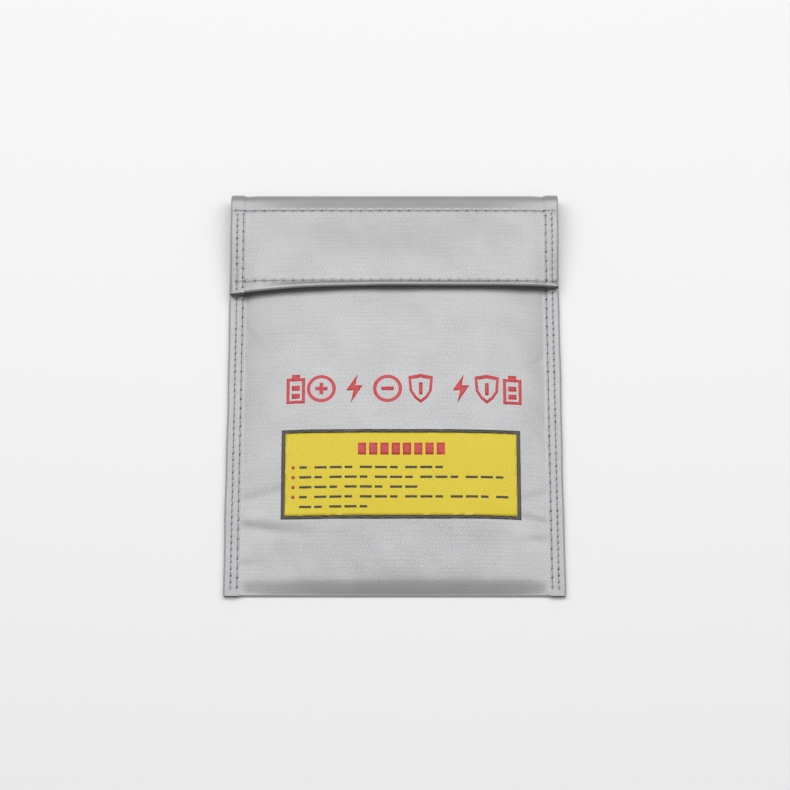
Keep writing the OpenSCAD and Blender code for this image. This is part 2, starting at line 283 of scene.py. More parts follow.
@dataclass(frozen=True)
class CoatedGlassCloth:
    """Woven glass cloth with a rubbed-in aluminium-grey coating.

    The yarns float in a broken twill, so the satin coating breaks into short slanting glints
    between soft darker grooves, and flat areas gleam more than tilted ones. The grooves' darker
    colour is painted shade, which the weave's height mixes into the coating's grey.
    """

    name: str = "coated_glass_cloth"
    colour: str = "#a9a9aa"
    # The groove colour is painted shade between the yarns.
    groove: str = "#8f8f91"
    scuffed: str = "#b5b5b6"
    tick_mm: float = 1.36       # coarser than real yarns, 0.6 mm apart, so that the weave shows
    band_mm: float = 2.25
    relief_mm: float = 0.06
    roughness: float = 0.42
    gloss_spread: float = 0.08  # by which the roughness varies to both sides
    metallic: float = 0.5
    wander_mm: tuple[float, float, float] = (1.5, 1.1, 0.0)     # yarns stray this far
    wander_per_mm: float = 0.35
    slubs_per_mm: tuple[float, float, float] = (0.045, 0.9, 1.0)    # thick places run across
    clouds_per_mm: float = 0.05
    grain_per_mm: float = 1.3
    worn_most: float = 0.2      # share of the scuffed colour in rubbed patches
    slubs_most: float = 0.14    # and on thick yarns

    def build(self) -> bpy.types.Material:
        """Build the material, which reads the UV map named Cloth.

        Returns:
            The material.
        """
        made, tree, shader = start_material(self.name)
        shader.inputs["Metallic"].default_value = self.metallic
        places = add_node(tree, "ShaderNodeUVMap", uv_map="Cloth").outputs["UV"]
        wander = add_node(tree, "ShaderNodeTexNoise", {
            "Vector": places, "Scale": self.wander_per_mm, "Detail": 2.0})
        moved = add_node(tree, "ShaderNodeVectorMath", (wander.outputs["Color"], (0.5, 0.5, 0.5)),
                         operation="SUBTRACT")
        shifted = add_node(tree, "ShaderNodeVectorMath", (moved.outputs[0], self.wander_mm, places),
                           operation="MULTIPLY_ADD")
        height = weave_height(tree, shifted.outputs[0], self.tick_mm, self.band_mm)
        long_way = add_node(tree, "ShaderNodeVectorMath", (places, self.slubs_per_mm),
                            operation="MULTIPLY")
        slubs = add_node(tree, "ShaderNodeTexNoise", {"Vector": long_way.outputs[0], "Scale": 1.0,
                                                      "Detail": 3.0})
        clouds = add_node(tree, "ShaderNodeTexNoise", {
            "Vector": places, "Scale": self.clouds_per_mm, "Detail": 3.0})
        grain = add_node(tree, "ShaderNodeTexNoise", {
            "Vector": places, "Scale": self.grain_per_mm, "Detail": 2.0})
        # Painted shade: the weave's height mixes the groove colour into its low places.
        weave = add_node(tree, "ShaderNodeMix", {0: height, 6: linear(self.groove),
                                                 7: linear(self.colour)}, data_type="RGBA")
        worn = add_node(tree, "ShaderNodeMapRange", {
            "Value": clouds.outputs["Fac"], "From Min": 0.4, "From Max": 0.75,
            "To Max": self.worn_most})
        streaks = add_node(tree, "ShaderNodeMapRange", {
            "Value": slubs.outputs["Fac"], "From Min": 0.35, "From Max": 0.65,
            "To Max": self.slubs_most})
        wear = add_node(tree, "ShaderNodeMath", (worn.outputs["Result"], streaks.outputs["Result"]),
                        operation="ADD")
        scuffs = add_node(tree, "ShaderNodeMix", {0: wear.outputs[0], 6: weave.outputs[2],
                                                  7: linear(self.scuffed)}, data_type="RGBA")
        tree.links.new(scuffs.outputs[2], shader.inputs["Base Color"])
        rough = add_node(tree, "ShaderNodeMapRange", {
            "Value": grain.outputs["Fac"], "To Min": self.roughness - self.gloss_spread,
            "To Max": self.roughness + self.gloss_spread})
        tree.links.new(rough.outputs["Result"], shader.inputs["Roughness"])
        yarns = add_node(tree, "ShaderNodeMath", (grain.outputs["Fac"], 0.5, height),
                         operation="MULTIPLY_ADD")
        bump = add_node(tree, "ShaderNodeBump", {"Height": yarns.outputs[0], "Strength": 0.6,
                                                 "Distance": self.relief_mm * MM})
        tree.links.new(bump.outputs["Normal"], shader.inputs["Normal"])
        return made


@dataclass(frozen=True)
class TwistedThread:
    """Sewing thread of twisted polyester: soft sheen, slanting darker lines of painted shade."""

    name: str = "polyester_thread_twisted"
    colour: str = "#9a9a9c"
    # The groove colour is painted shade in the twist.
    groove: str = "#5c5c5f"
    twist_mm: float = 0.45      # coarser than the real 0.2 mm, so that the twist shows
    roughness: float = 0.55
    sheen: float = 0.25
    relief_mm: float = 0.05

    def build(self) -> bpy.types.Material:
        """Build the material, which reads Object coordinates.

        Returns:
            The material.
        """
        made, tree, shader = start_material(self.name)
        shader.inputs["Roughness"].default_value = self.roughness
        shader.inputs["Sheen Weight"].default_value = self.sheen
        place = add_node(tree, "ShaderNodeTexCoord").outputs["Object"]
        lines_per_m = 0.31 / (self.twist_mm * MM)       # at scale 1 its lines are 0.31 apart
        twist = add_node(tree, "ShaderNodeTexWave", {"Vector": place, "Scale": lines_per_m,
                                                     "Distortion": 1.0}, bands_direction="DIAGONAL")
        # Painted shade: the twist's wave mixes the groove colour into its lines.
        shade = add_node(tree, "ShaderNodeMix", {0: twist.outputs["Fac"], 6: linear(self.groove),
                                                 7: linear(self.colour)}, data_type="RGBA")
        tree.links.new(shade.outputs[2], shader.inputs["Base Color"])
        bump = add_node(tree, "ShaderNodeBump", {"Height": twist.outputs["Fac"], "Strength": 0.5,
                                                 "Distance": self.relief_mm * MM})
        tree.links.new(bump.outputs["Normal"], shader.inputs["Normal"])
        return made


@dataclass(frozen=True)
class MottledFinish:
    """A plain finish whose colour and gloss vary with a fine grain.

    It serves what has no pattern of its own: the needle holes' shade, the nylon of hooks and
    loops, and the tapes' ground.
    """

    name: str
    colour: str
    dark: str
    grain_mm: float
    roughness: float
    sheen: float = 0.0
    relief_mm: float = 0.03
    gloss_spread: float = 0.08

    def build(self) -> bpy.types.Material:
        """Build the material, which reads Object coordinates.

        Returns:
            The material.
        """
        made, tree, shader = start_material(self.name)
        shader.inputs["Sheen Weight"].default_value = self.sheen
        place = add_node(tree, "ShaderNodeTexCoord").outputs["Object"]
        grain = add_node(tree, "ShaderNodeTexNoise", {
            "Vector": place, "Scale": 1 / (self.grain_mm * MM), "Detail": 3.0})
        shade = add_node(tree, "ShaderNodeMix", {0: grain.outputs["Fac"], 6: linear(self.dark),
                                                 7: linear(self.colour)}, data_type="RGBA")
        tree.links.new(shade.outputs[2], shader.inputs["Base Color"])
        rough = add_node(tree, "ShaderNodeMapRange", {
            "Value": grain.outputs["Fac"], "To Min": self.roughness - self.gloss_spread,
            "To Max": self.roughness + self.gloss_spread})
        tree.links.new(rough.outputs["Result"], shader.inputs["Roughness"])
        bump = add_node(tree, "ShaderNodeBump", {"Height": grain.outputs["Fac"], "Strength": 0.5,
                                                 "Distance": self.relief_mm * MM})
        tree.links.new(bump.outputs["Normal"], shader.inputs["Normal"])
        return made


@dataclass(frozen=True)
class ScreenInk:
    """Screen-printed ink that lies on the yarns and thins out over the grooves between them."""

    name: str
    colour: str
    thin: str
    tick_mm: float = CoatedGlassCloth.tick_mm
    band_mm: float = CoatedGlassCloth.band_mm
    relief_mm: float = 0.06
    blots_per_mm: float = 0.9
    rough_thin: float = 0.62
    rough_full: float = 0.45

    def build(self) -> bpy.types.Material:
        """Build the material, whose weave reads Object coordinates turned to millimetres.

        Returns:
            The material.
        """
        made, tree, shader = start_material(self.name)
        place = add_node(tree, "ShaderNodeTexCoord").outputs["Object"]
        places = add_node(tree, "ShaderNodeVectorMath", {0: place, "Scale": 1 / MM},
                          operation="SCALE").outputs[0]
        height = weave_height(tree, places, self.tick_mm, self.band_mm)
        blots = add_node(tree, "ShaderNodeTexNoise", {
            "Vector": places, "Scale": self.blots_per_mm, "Detail": 4.0})
        cover = add_node(tree, "ShaderNodeMath", (blots.outputs["Fac"], 1.2, height),
                         operation="MULTIPLY_ADD")
        full = add_node(tree, "ShaderNodeMapRange", {"Value": cover.outputs[0], "From Min": 0.25,
                                                     "From Max": 1.05})
        shade = add_node(tree, "ShaderNodeMix", {0: full.outputs["Result"], 6: linear(self.thin),
                                                 7: linear(self.colour)}, data_type="RGBA")
        tree.links.new(shade.outputs[2], shader.inputs["Base Color"])
        rough = add_node(tree, "ShaderNodeMapRange", {
            "Value": full.outputs["Result"], "To Min": self.rough_thin, "To Max": self.rough_full})
        tree.links.new(rough.outputs["Result"], shader.inputs["Roughness"])
        bump = add_node(tree, "ShaderNodeBump", {"Height": height, "Strength": 0.5,
                                                 "Distance": self.relief_mm * MM})
        tree.links.new(bump.outputs["Normal"], shader.inputs["Normal"])
        return made


@dataclass
class Finishes:
    """Every material of the pouch, built once."""

    def __post_init__(self) -> None:
        """Build the materials."""
        self.cloth = CoatedGlassCloth().build()
        # The binding tape is woven finer, so its glints are shorter and its grey a touch darker; its
        # groove colour is painted shade, as on the cloth.
        self.binding = CoatedGlassCloth("coated_glass_binding", colour="#a5a5a7", groove="#8c8c8f",
                                        tick_mm=1.1, band_mm=1.6).build()
        self.thread = TwistedThread().build()
        # A needle hole's dark plug is painted shade: nearly black and dull.
        self.hole = MottledFinish("needle_hole_shade", "#2c2c2e", "#141416", 0.3, 0.9).build()
        # Tightly woven nylon under the hooks and loops is flat and matt.
        self.ground = MottledFinish("woven_nylon_tape_ground", "#a2a2a5", "#8a8a8e", 0.4, 0.7,
                                    sheen=0.1).build()
        # Brushed nylon loops catch light on their tips: their colour, paler than their ground's, is
        # painted highlight.
        self.loops = MottledFinish("brushed_nylon_loops", "#bcbcbe", "#98989b", 0.6, 0.6,
                                   sheen=0.4).build()
        # Moulded nylon hooks are smooth and a little glossy.
        self.hooks = MottledFinish("moulded_nylon_hooks", "#b2b2b5", "#9b9b9e", 0.5, 0.38).build()
        # Each ink is flat and even on the yarns and greyer in the grooves that it didn't reach.
        self.red = ScreenInk("screen_ink_red", "#bf2b33", "#b25056").build()
        self.yellow = ScreenInk("screen_ink_yellow", "#d8c10c", "#b8a822").build()
        self.dark = ScreenInk("screen_ink_dark", "#38352d", "#57534a").build()


# ---------------------------------------------------------------- the pouch's form

@dataclass(frozen=True)
class Row:
    """A straight row of stitches, with its needle holes at first + k * pitch.

    place is the row's own coordinate: y for a row across the pouch, x for one along it.
    """

    place: float
    first: float
    pitch: float
    count: int          # number of stitches; there is one hole more
    depth: float = 0.24
    width: float = 0.62
    groove_share: float = 0.45      # depth of the thread's groove next to a needle hole's
    groove_slim: float = 0.8        # and its width

    def dimple(self, off: Array, along: Array) -> Array:
        """Depth that needle and thread press into the cloth.

        Args:
            off: distance from the row's line.
            along: place along the row.

        Returns:
            The depth, in millimetres.
        """
        turns = np.clip(np.round((along - self.first) / self.pitch), 0, self.count)
        near = along - self.first - turns * self.pitch
        last = self.first + self.count * self.pitch
        inside = smooth(along - self.first + 1) * smooth(last + 1 - along)
        groove = self.groove_share * self.depth * bell(off / (self.groove_slim * self.width))
        return inside * (self.depth * bell(np.hypot(off, near) / self.width) + groove)

    def centres(self) -> Array:
        """Places of the stitches' middles along the row."""
        return self.first + self.pitch * (np.arange(self.count) + 0.5)

    def holes(self) -> Array:
        """Places of the needle holes along the row."""
        return self.first + self.pitch * np.arange(self.count + 1)


@dataclass(frozen=True)
class Crease:
    """A valley that runs in from a side seam, with a low ridge above it."""

    side: Side
    y: float
    length: float
    depth: float            # negative for a valley
    lean: float = 0.0       # rise of the crease's line on its way inward
    start: float = 3.0      # it begins this far outside the seam
    fade_in: float = 6.0
    width: float = 2.5
    ridge_share: float = 0.5
    ridge_off: float = 5.0
    ridge_width: float = 3.2

    def height(self, x: Array, y: Array, seam_x: float) -> Array:
        """Height of the crease over the cloth at x, y.

        Args:
            x: places across the pouch.
            y: places along it.
            seam_x: distance of the side seams from the middle.

        Returns:
            The height, in millimetres.
        """
        run = seam_x + self.start - self.side.value * x
        up = y - self.y - self.lean * run
        fade = smooth(run / self.fade_in) * bell(run / self.length) * (run > 0)
        ridge = self.ridge_share * bell((up - self.ridge_off) / self.ridge_width)
        return self.depth * fade * (bell(up / self.width) - ridge)


CREASES = (
    Crease(Side.LEFT, -63, 17, -0.42, 0.22), Crease(Side.LEFT, -76.5, 22, -0.6, -0.12),
    Crease(Side.LEFT, -98, 9, -0.3), Crease(Side.LEFT, 12, 13, -0.35, -0.5),
    Crease(Side.LEFT, 38, 16, -0.4, -0.9),
    Crease(Side.RIGHT, -58, 14, -0.4, -0.28), Crease(Side.RIGHT, -67, 10, -0.35),
    Crease(Side.RIGHT, -76, 24, -0.6, 0.2), Crease(Side.RIGHT, -84, 11, -0.4, -0.1),
    Crease(Side.RIGHT, 20, 14, -0.45, -0.6), Crease(Side.RIGHT, -26, 15, -0.4, 0.7),
)


@dataclass(frozen=True)
class Wave:
    """A straight sine wave over the cloth, in millimetres and radians per millimetre."""

    height: float
    per_x: float
    per_y: float
    phase: float

    def at(self, x: Array, y: Array) -> Array:
        """Height of the wave at x, y."""
        return self.height * np.sin(self.per_x * x + self.per_y * y + self.phase)


BILLOWS = (Wave(0.17, 0.105, 0.0, 0.6), Wave(1.0, 0.0, 0.047, 1.2))     # multiplied
RIPPLES = (Wave(0.10, 0.17, -0.062, 2.1), Wave(0.07, 0.055, 0.19, 0.4),
           Wave(0.035, 0.41, 0.23, 0.0))                                # and added


@dataclass(frozen=True)
class PouchForm:
    """Places and smooth shapes that the layers share, in millimetres."""

    half_w: float       # side edge of the bindings
    bottom_y: float     # bottom edge of the bindings
    fold_y: float       # outer face of both folds
    roll_y: float       # where the back starts to roll over
    mouth_y: float
    seam_x: float       # where the crown meets the side seam
    binding_x: float    # inner edge of the bindings
    cloth_x: float      # side edge of the cloth inside them
    side_z: float       # middle of the front cloth in the side seam
    crown_h: float
    flap_top: float     # middle of the flap's cloth over the crown
    row_y: float        # first row of stitches on the flap
    hem_y: float        # row of stitches above the flap's free edge
    flap_drop: float = 5.0      # fall of the flap from its middle to its corners
    roll_top: float = 10.7      # where the roll ends and the flap begins
    band_tilt: float = 12.5     # degrees by which the band between roll and stitches slopes
    row_sag: float = 0.3        # share of the drop by which the crown carries the rows down
    edge_r: float = 0.75        # middle radius of the hem's rolled edge
    swell_l: float = 4.6        # the front rises quickly for this far from the bottom crease
    swell_part: float = 0.36    # and by this share of its crown
    rest_l: float = 110.0       # over this length it rises by the rest
    seam_rise_l: float = 8.0    # over this length it rises to the side seam's height
    calm_l: float = 14.0        # ripples and creases fade in over this length
    pressed_d: float = 0.4      # the bindings press the cloth in by this much
    pressed_l: float = 7.0      # and over this length inside their edge
    hem_middle: float = 3.1     # cloth below the hem's stitches
    hem_left: float = 3.6       # more of it at the left corner
    hem_right: float = -0.5     # and less at the right one
    curl: float = 0.7           # the middle of the free edge curls up by this much

    @classmethod
    def from_frame(cls) -> "PouchForm":
        """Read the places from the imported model.

        Returns:
            The form, with every place in millimetres.
        """
        front_low, front_high = box_mm("front_panel")
        flap_high = box_mm("flap_outer")[1]
        fold_low, _ = box_mm("top_fold")
        left_low, left_high = box_mm("left_side_binding")
        side_z = CLOTH_T / 2 + 2 * STEP
        return cls(
            half_w=-left_low[0], bottom_y=left_low[1], fold_y=-front_low[1], roll_y=fold_low[1],
            mouth_y=front_high[1], seam_x=-left_high[0] - 1.2, binding_x=-left_high[0],
            cloth_x=front_high[0], side_z=side_z, crown_h=front_high[2] - CLOTH_T / 2 - side_z,
            flap_top=flap_high[2] - CLOTH_T / 2, row_y=middle_of("flap_top_stitches")[1],
            hem_y=middle_of("flap_hem_stitches")[1])

    def pressed_side(self, x: Array) -> Array:
        """How far the bindings press the cloth in, so that they lie nearly flush with it."""
        inside = np.abs(x) - self.binding_x + self.pressed_l
        return self.pressed_d * smooth(inside / self.pressed_l)

    def roll_r(self, x: Array) -> Array:
        """Middle radius of the top fold's roll."""
        reach = 1 + math.cos(math.radians(self.band_tilt))
        return (self.roll_top - self.pressed_side(x) - self.back_z(x)) / reach

    def roll_point(self, x: Array, turn: float, off: Array | float = 0.0) -> Array:
        """Points of the roll.

        Args:
            x: columns.
            turn: from 0 at the back cloth to 1 where the flap begins.
            off: distance out of the roll's middle surface.

        Returns:
            The points, one for each column.
        """
        angle = math.radians(-90 + turn * (180 - self.band_tilt))
        r = self.roll_r(x)
        y = self.fold_y - CLOTH_T / 2 - self.pressed_side(x) - r
        return np.stack([x, y + (r + off) * math.cos(angle),
                         self.back_z(x) + r + (r + off) * math.sin(angle)], -1)

    def columns(self) -> Array:
        """Columns of the body's and the roll's cloth, close together near the bindings.

        Returns:
            Places across the cloth, from left to right.
        """
        half, inner = self.cloth_x, self.cloth_x - 17
        return np.concatenate([spread(-half, -inner, 0.8)[:-1], spread(-inner, inner, 1.9)[:-1],
                               spread(inner, half, 0.8)])

    def band_top(self, x: Array) -> Array:
        """Where the roll ends and the flap begins."""
        return self.roll_point(x, 1.0)[..., 1]

    def back_z(self, x: Array) -> Array:
        """Middle of the back cloth: on the table, and lifted onto the bindings at the sides."""
        return CLOTH_T / 2 + STEP * np.clip((np.abs(x) - self.seam_x + 3) / 4, 0, 1)

    def ripple(self, x: Array, y: Array) -> Array:
        """Soft waves that a slack cloth keeps from being folded and handled."""
        return BILLOWS[0].at(x, y) * BILLOWS[1].at(x, y) + sum(w.at(x, y) for w in RIPPLES)

    def front_z(self, x: Array, y: Array) -> Array:
        """Middle of the front cloth, with its crown, ripples and creases.

        Args:
            x: places across the pouch.
            y: places along it.

        Returns:
            Height over the table of the cloth's middle.
        """
        run = y + self.fold_y - 1
        away = smooth(run / self.calm_l)
        ripple = smooth((self.seam_x - np.abs(x)) / 12) * away * self.ripple(x, y)
        creases = away * sum(c.height(x, y, self.seam_x) for c in CREASES)
        below = (1 - smooth(run / self.seam_rise_l)) * (self.side_z - STEP - self.back_z(x))
        hem = self.mouth_lift(y) * smooth((np.abs(x) - 60) / 18)
        return (self.side_z - below + self.crown(x) * self.swell(x, run)[0] + ripple + creases
                + hem)

    def crown(self, x: Array) -> Array:
        """Height of the slack front over its side seams."""
        return self.crown_h * (1 - np.minimum(np.abs(x) / self.seam_x, 1) ** 4)

    def swell(self, x: Array, run: Array | float) -> tuple[Array, Array]:
        """Share of the crown that the front has reached this far from the bottom crease.

        Args:
            x: place across the pouch, because the left half rises more slowly.
            run: distance from the crease.

        Returns:
            The share, and its slope per millimetre.
        """
        quick = self.swell_part * (0.55 + 0.45 * smooth((x + 80) / 90))
        left = np.exp(-np.maximum(run, 0) / self.swell_l)
        share = quick * (1 - left) + (1 - quick) * smooth(run / self.rest_l)
        return share, quick * left / self.swell_l

    def mouth_lift(self, y: Array | float) -> Array:
        """How far the turned hem lifts the sides of the front cloth near the mouth."""
        return STEP * smooth((y - self.mouth_y + 15) / 4)

    def flap_z(self, x: Array, y: Array) -> Array:
        """Middle of the flap's cloth between the roll and the hem, without dimples.

        Args:
            x: places across the pouch.
            y: places along it.

        Returns:
            Height over the table of the cloth's middle.
        """
        top = self.band_top(x)
        slope = math.tan(math.radians(self.band_tilt))
        row_z = self.roll_top + slope * (self.roll_point(np.array(0.0), 1.0)[1] - self.row_y)
        onward = smooth((top - y) / (top - self.row_y))
        ramp = self.roll_top + slope * (top - np.maximum(y, self.row_y))
        swell = (self.flap_top - row_z) * smooth((self.row_y - y) / 32)
        waves = 0.6 * self.ripple(x + 31, y * 1.3) * smooth((self.row_y - y) / 8)
        return ramp + swell + waves - self.drop(x, y) * onward - self.pressed_side(x)

    def drop(self, x: Array, y: Array | float) -> Array:
        """How far the flap falls towards its sides: little near the roll, most at the free edge."""
        grown = 0.2 + 0.8 * smooth((self.row_y - y) / (self.row_y - self.hem_y))
        return self.flap_drop * grown * (np.abs(x) / self.seam_x) ** 4

    def row_shift(self, x: Array, place: float) -> Array:
        """How much further up the row at a place lies at x than in the middle."""
        return self.row_sag * self.drop(x, place)

    def hem_depth(self, x: Array) -> Array:
        """Cloth below the hem's row of stitches: cut a little askew, deepest at the left."""
        left, right = np.clip(-x, 0, None) / 85, np.clip(x - 35, 0, None) / 50
        return self.hem_middle + self.hem_left * left ** 2 + self.hem_right * right ** 2

    def edge_lift(self, x: Array) -> Array:
        """How far the middle of the free edge curls up, and the corners don't."""
        return self.curl * smooth((74 - np.abs(x)) / 22) + 0.1


def middle_of(node: str) -> Array:
    """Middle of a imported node's box, in millimetres."""
    low, high = box_mm(node)
    return (low + high) / 2


@dataclass(frozen=True)
class Cloth:
    """A sheet of cloth: its finish, the body it rides on, and what it stands for."""

    name: str
    finish: bpy.types.Material
    slot: str
    body: Body | None               # None for a piece on the roll
    nodes: tuple[str, ...] = ()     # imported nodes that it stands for
    held: Held = Held.FOLDED
    rests_on: tuple[str, ...] = ()

    def lay(self, form: PouchForm, across: Array, grid: Array,
            thickness: Array | float = CLOTH_T) -> None:
        """Make the sheet and hand it over.

        Args:
            form: the pouch's form, which is not used.
            across: the m columns' places across the flat cloth.
            grid: n by m points of its middle surface.
            thickness: from skin to skin.
        """
        flat = flat_places(across, grid)
        piece = sheet_object(self.name, grid, flat, thickness)
        piece.data.materials.append(self.finish)
        if self.body:
            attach(piece, self.body.value)
        else:
            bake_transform(piece)
        if self.nodes:
            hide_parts(*self.nodes)
        width, length = flat[-1, -1] - flat[0, 0]
        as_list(self.rests_on)
        LOG.info("%s: %.1f x %.1f mm of cloth", self.name, width, length)


# ---------------------------------------------------------------- threads, hooks and loops

@dataclass(frozen=True)
class BentFibre:
    """A short tube bent along one Bezier curve, as stitches, hooks and loops are.

    Points are in the fibre's own frame, in millimetres: X runs along the row and Z out of the cloth.
    """

    start: tuple[float, float, float]
    leave: tuple[float, float, float]
    arrive: tuple[float, float, float]
    end: tuple[float, float, float]
    radius: float
    bends: int = 5
    sides: int = 6
    vary: float = 0.08

    def tree(self, name: str) -> bpy.types.NodeTree:
        """Build the Geometry Nodes tree that puts one fibre on each point of a mesh.

        Args:
            name: name of the tree.

        Returns:
            The tree, with a named input for each size.
        """
        tree = bpy.data.node_groups.new(name, "GeometryNodeTree")
        face = tree.interface
        face.new_socket("Geometry", in_out="INPUT", socket_type="NodeSocketGeometry")
        for label in ("Start", "Leave", "Arrive", "End"):
            face.new_socket(label, in_out="INPUT", socket_type="NodeSocketVector")
        for label in ("Radius", "Smallest", "Largest"):
            face.new_socket(label, in_out="INPUT", socket_type="NodeSocketFloat")
        for label in ("Bends", "Sides", "Seed"):
            face.new_socket(label, in_out="INPUT", socket_type="NodeSocketInt")
        face.new_socket("Material", in_out="INPUT", socket_type="NodeSocketMaterial")
        face.new_socket("Geometry", in_out="OUTPUT", socket_type="NodeSocketGeometry")
        given = tree.nodes.new("NodeGroupInput").outputs
        line = add_node(tree, "GeometryNodeCurvePrimitiveBezierSegment", {
            "Resolution": given["Bends"], "Start": given["Start"], "Start Handle": given["Leave"],
            "End Handle": given["Arrive"], "End": given["End"]})
        ring = add_node(tree, "GeometryNodeCurvePrimitiveCircle", {
            "Resolution": given["Sides"], "Radius": given["Radius"]})
        tube = add_node(tree, "GeometryNodeCurveToMesh", {
            "Curve": line.outputs[0], "Profile Curve": ring.outputs[0], "Fill Caps": True})
        normal = add_node(tree, "GeometryNodeInputNamedAttribute", {"Name": "outward"},
                          data_type="FLOAT_VECTOR")
        onward = add_node(tree, "GeometryNodeInputNamedAttribute", {"Name": "onward"},
                          data_type="FLOAT_VECTOR")
        turn = add_node(tree, "FunctionNodeAxesToRotation", (normal.outputs[0], onward.outputs[0]),
                        primary_axis="Z", secondary_axis="X")
        size = add_node(tree, "FunctionNodeRandomValue", {
            "Seed": given["Seed"]}, data_type="FLOAT")
        tree.links.new(given["Smallest"], size.inputs[2])
        tree.links.new(given["Largest"], size.inputs[3])
        placed = add_node(tree, "GeometryNodeInstanceOnPoints", {
            "Points": given["Geometry"], "Instance": tube.outputs[0], "Rotation": turn.outputs[0],
            "Scale": size.outputs[1]})
        real = add_node(tree, "GeometryNodeRealizeInstances", (placed.outputs[0],))
        soft = add_node(tree, "GeometryNodeSetShadeSmooth", {"Geometry": real.outputs[0]})
        dressed = add_node(tree, "GeometryNodeSetMaterial", {
            "Geometry": soft.outputs[0], "Material": given["Material"]})
        add_node(tree, "NodeGroupOutput", (dressed.outputs[0],))
        return tree

    def sizes(self, seed: int, material: bpy.types.Material) -> dict[str, Any]:
        """Values of the tree's named inputs, with lengths in metres.

        Args:
            seed: seed of the small differences in size.
            material: the fibre's finish.

        Returns:
            A value for each of the tree's inputs but its geometry.
        """
        return {
            "Start": [v * MM for v in self.start], "Leave": [v * MM for v in self.leave],
            "Arrive": [v * MM for v in self.arrive], "End": [v * MM for v in self.end],
            "Radius": self.radius * MM, "Smallest": 1 - self.vary, "Largest": 1 + self.vary,
            "Bends": self.bends, "Sides": self.sides, "Seed": seed, "Material": material}


@dataclass(frozen=True)
class Spots:
    """Points on a surface with its outward normal and the direction onward along a row."""

    place: Array
    outward: Array
    onward: Array

    @staticmethod
    def on(surface: Surface, first: Array, second: Array, along: int,
           reach: float = 0.15) -> "Spots":
        """Take spots from a surface of two parameters.

        Args:
            surface: gives n by 3 points for n values of each parameter.
            first: first parameter of the spots.
            second: second parameter of the spots.
            along: which of the two parameters the row runs along.
            reach: the surface's slope is taken between points this far to both sides.

        Returns:
            The spots, whose normal is the cross product of the two directions.
        """
        ahead = [surface(first + reach, second) - surface(first - reach, second),
                 surface(first, second + reach) - surface(first, second - reach)]
        outward = np.cross(ahead[0], ahead[1])
        outward /= np.linalg.norm(outward, axis=1, keepdims=True)
        return Spots(surface(first, second), outward, ahead[along])

    def turned(self, degrees: float, jitter: float, seed: int) -> "Spots":
        """The same spots with their onward direction turned about the normal.

        Args:
            degrees: the turn.
            jitter: spread of a random turn on top, in degrees.
            seed: seed of that random turn.

        Returns:
            The turned spots.
        """
        angle = np.radians(degrees + jitter * np.random.default_rng(seed).normal(size=len(self.place)))
        c, s = np.cos(angle)[:, None], np.sin(angle)[:, None]
        return Spots(self.place, self.outward,
                     self.onward * c + np.cross(self.outward, self.onward) * s)

    @staticmethod
    def joined(groups: Sequence["Spots"]) -> "Spots":
        """Several groups of spots as one."""
        return Spots(*(np.concatenate([getattr(g, part) for g in groups])
                       for part in ("place", "outward", "onward")))


def fibres_on(name: str, spots: Spots, fibre: BentFibre, material: bpy.types.Material,
              seed: int) -> bpy.types.Object:
    """Put a fibre on every spot with Geometry Nodes, and keep the result as a plain mesh.

    Args:
        name: name of the piece.
        spots: where the fibres stand.
        fibre: the fibre's shape.
        material: the fibre's finish.
        seed: seed of the small differences in size.

    Returns:
        The piece, with no modifier left on it.
    """
    mesh = bpy.data.meshes.new(name + "_spots")
    mesh.from_pydata((spots.place * MM).tolist(), [], [])
    for label, values in (("outward", spots.outward), ("onward", spots.onward)):
        layer = mesh.attributes.new(label, "FLOAT_VECTOR", "POINT")
        layer.data.foreach_set("vector", values.astype(np.float32).ravel())
    seat = linked(name + "_spots", mesh)
    tree = fibre.tree(name + "_tree")
    modifier = seat.modifiers.new("fibres", "NODES")
    modifier.node_group = tree
    sockets = {item.name: item.identifier for item in tree.interface.items_tree
               if item.in_out == "INPUT"}
    for label, value in fibre.sizes(seed, material).items():
        modifier[sockets[label]] = value
    bpy.context.view_layer.update()
    made = bpy.data.meshes.new_from_object(seat.evaluated_get(bpy.context.evaluated_depsgraph_get()))
    made.name = name
    bpy.data.objects.remove(seat)
    for label in ("outward", "onward"):
        if label in made.attributes:
            made.attributes.remove(made.attributes[label])
    return linked(name, made)


def stitch_fibre(pitch: float) -> BentFibre:
    """A lockstitch that dips into the needle holes at both ends.

    Args:
        pitch: distance between two needle holes.

    Returns:
        The fibre, with its middle at the stitch's middle.
    """
    half, dip, arch = pitch / 2 - 0.22, -0.32, 0.16
    return BentFibre((-half, 0, dip), (-half * 0.55, 0, arch), (half * 0.55, 0, arch),
                     (half, 0, dip), radius=0.2, bends=7)


def hole_disc(radius: float) -> BentFibre:
    """A short dark plug that reads as the shade in a needle hole."""
    return BentFibre((0, 0, -0.3), (0, 0, -0.2), (0, 0, -0.1), (0, 0, 0.1), radius, bends=1, sides=9,
                     vary=0.25)


# Dark plugs of painted shade in the needle holes.
WIDE_HOLE = hole_disc(0.5)
FINE_HOLE = hole_disc(0.4)
HOOK = BentFibre((0, 0, 0), (0, 0, 0.95), (0.55, 0, 1.15), (0.5, 0, 0.45), 0.085, bends=5, sides=4)
LOOP = BentFibre((-0.22, 0, 0), (-0.75, 0, 1.15), (0.75, 0, 1.15), (0.22, 0, 0), 0.055, bends=6,
                 sides=4, vary=0.2)


# ---------------------------------------------------------------- cloth

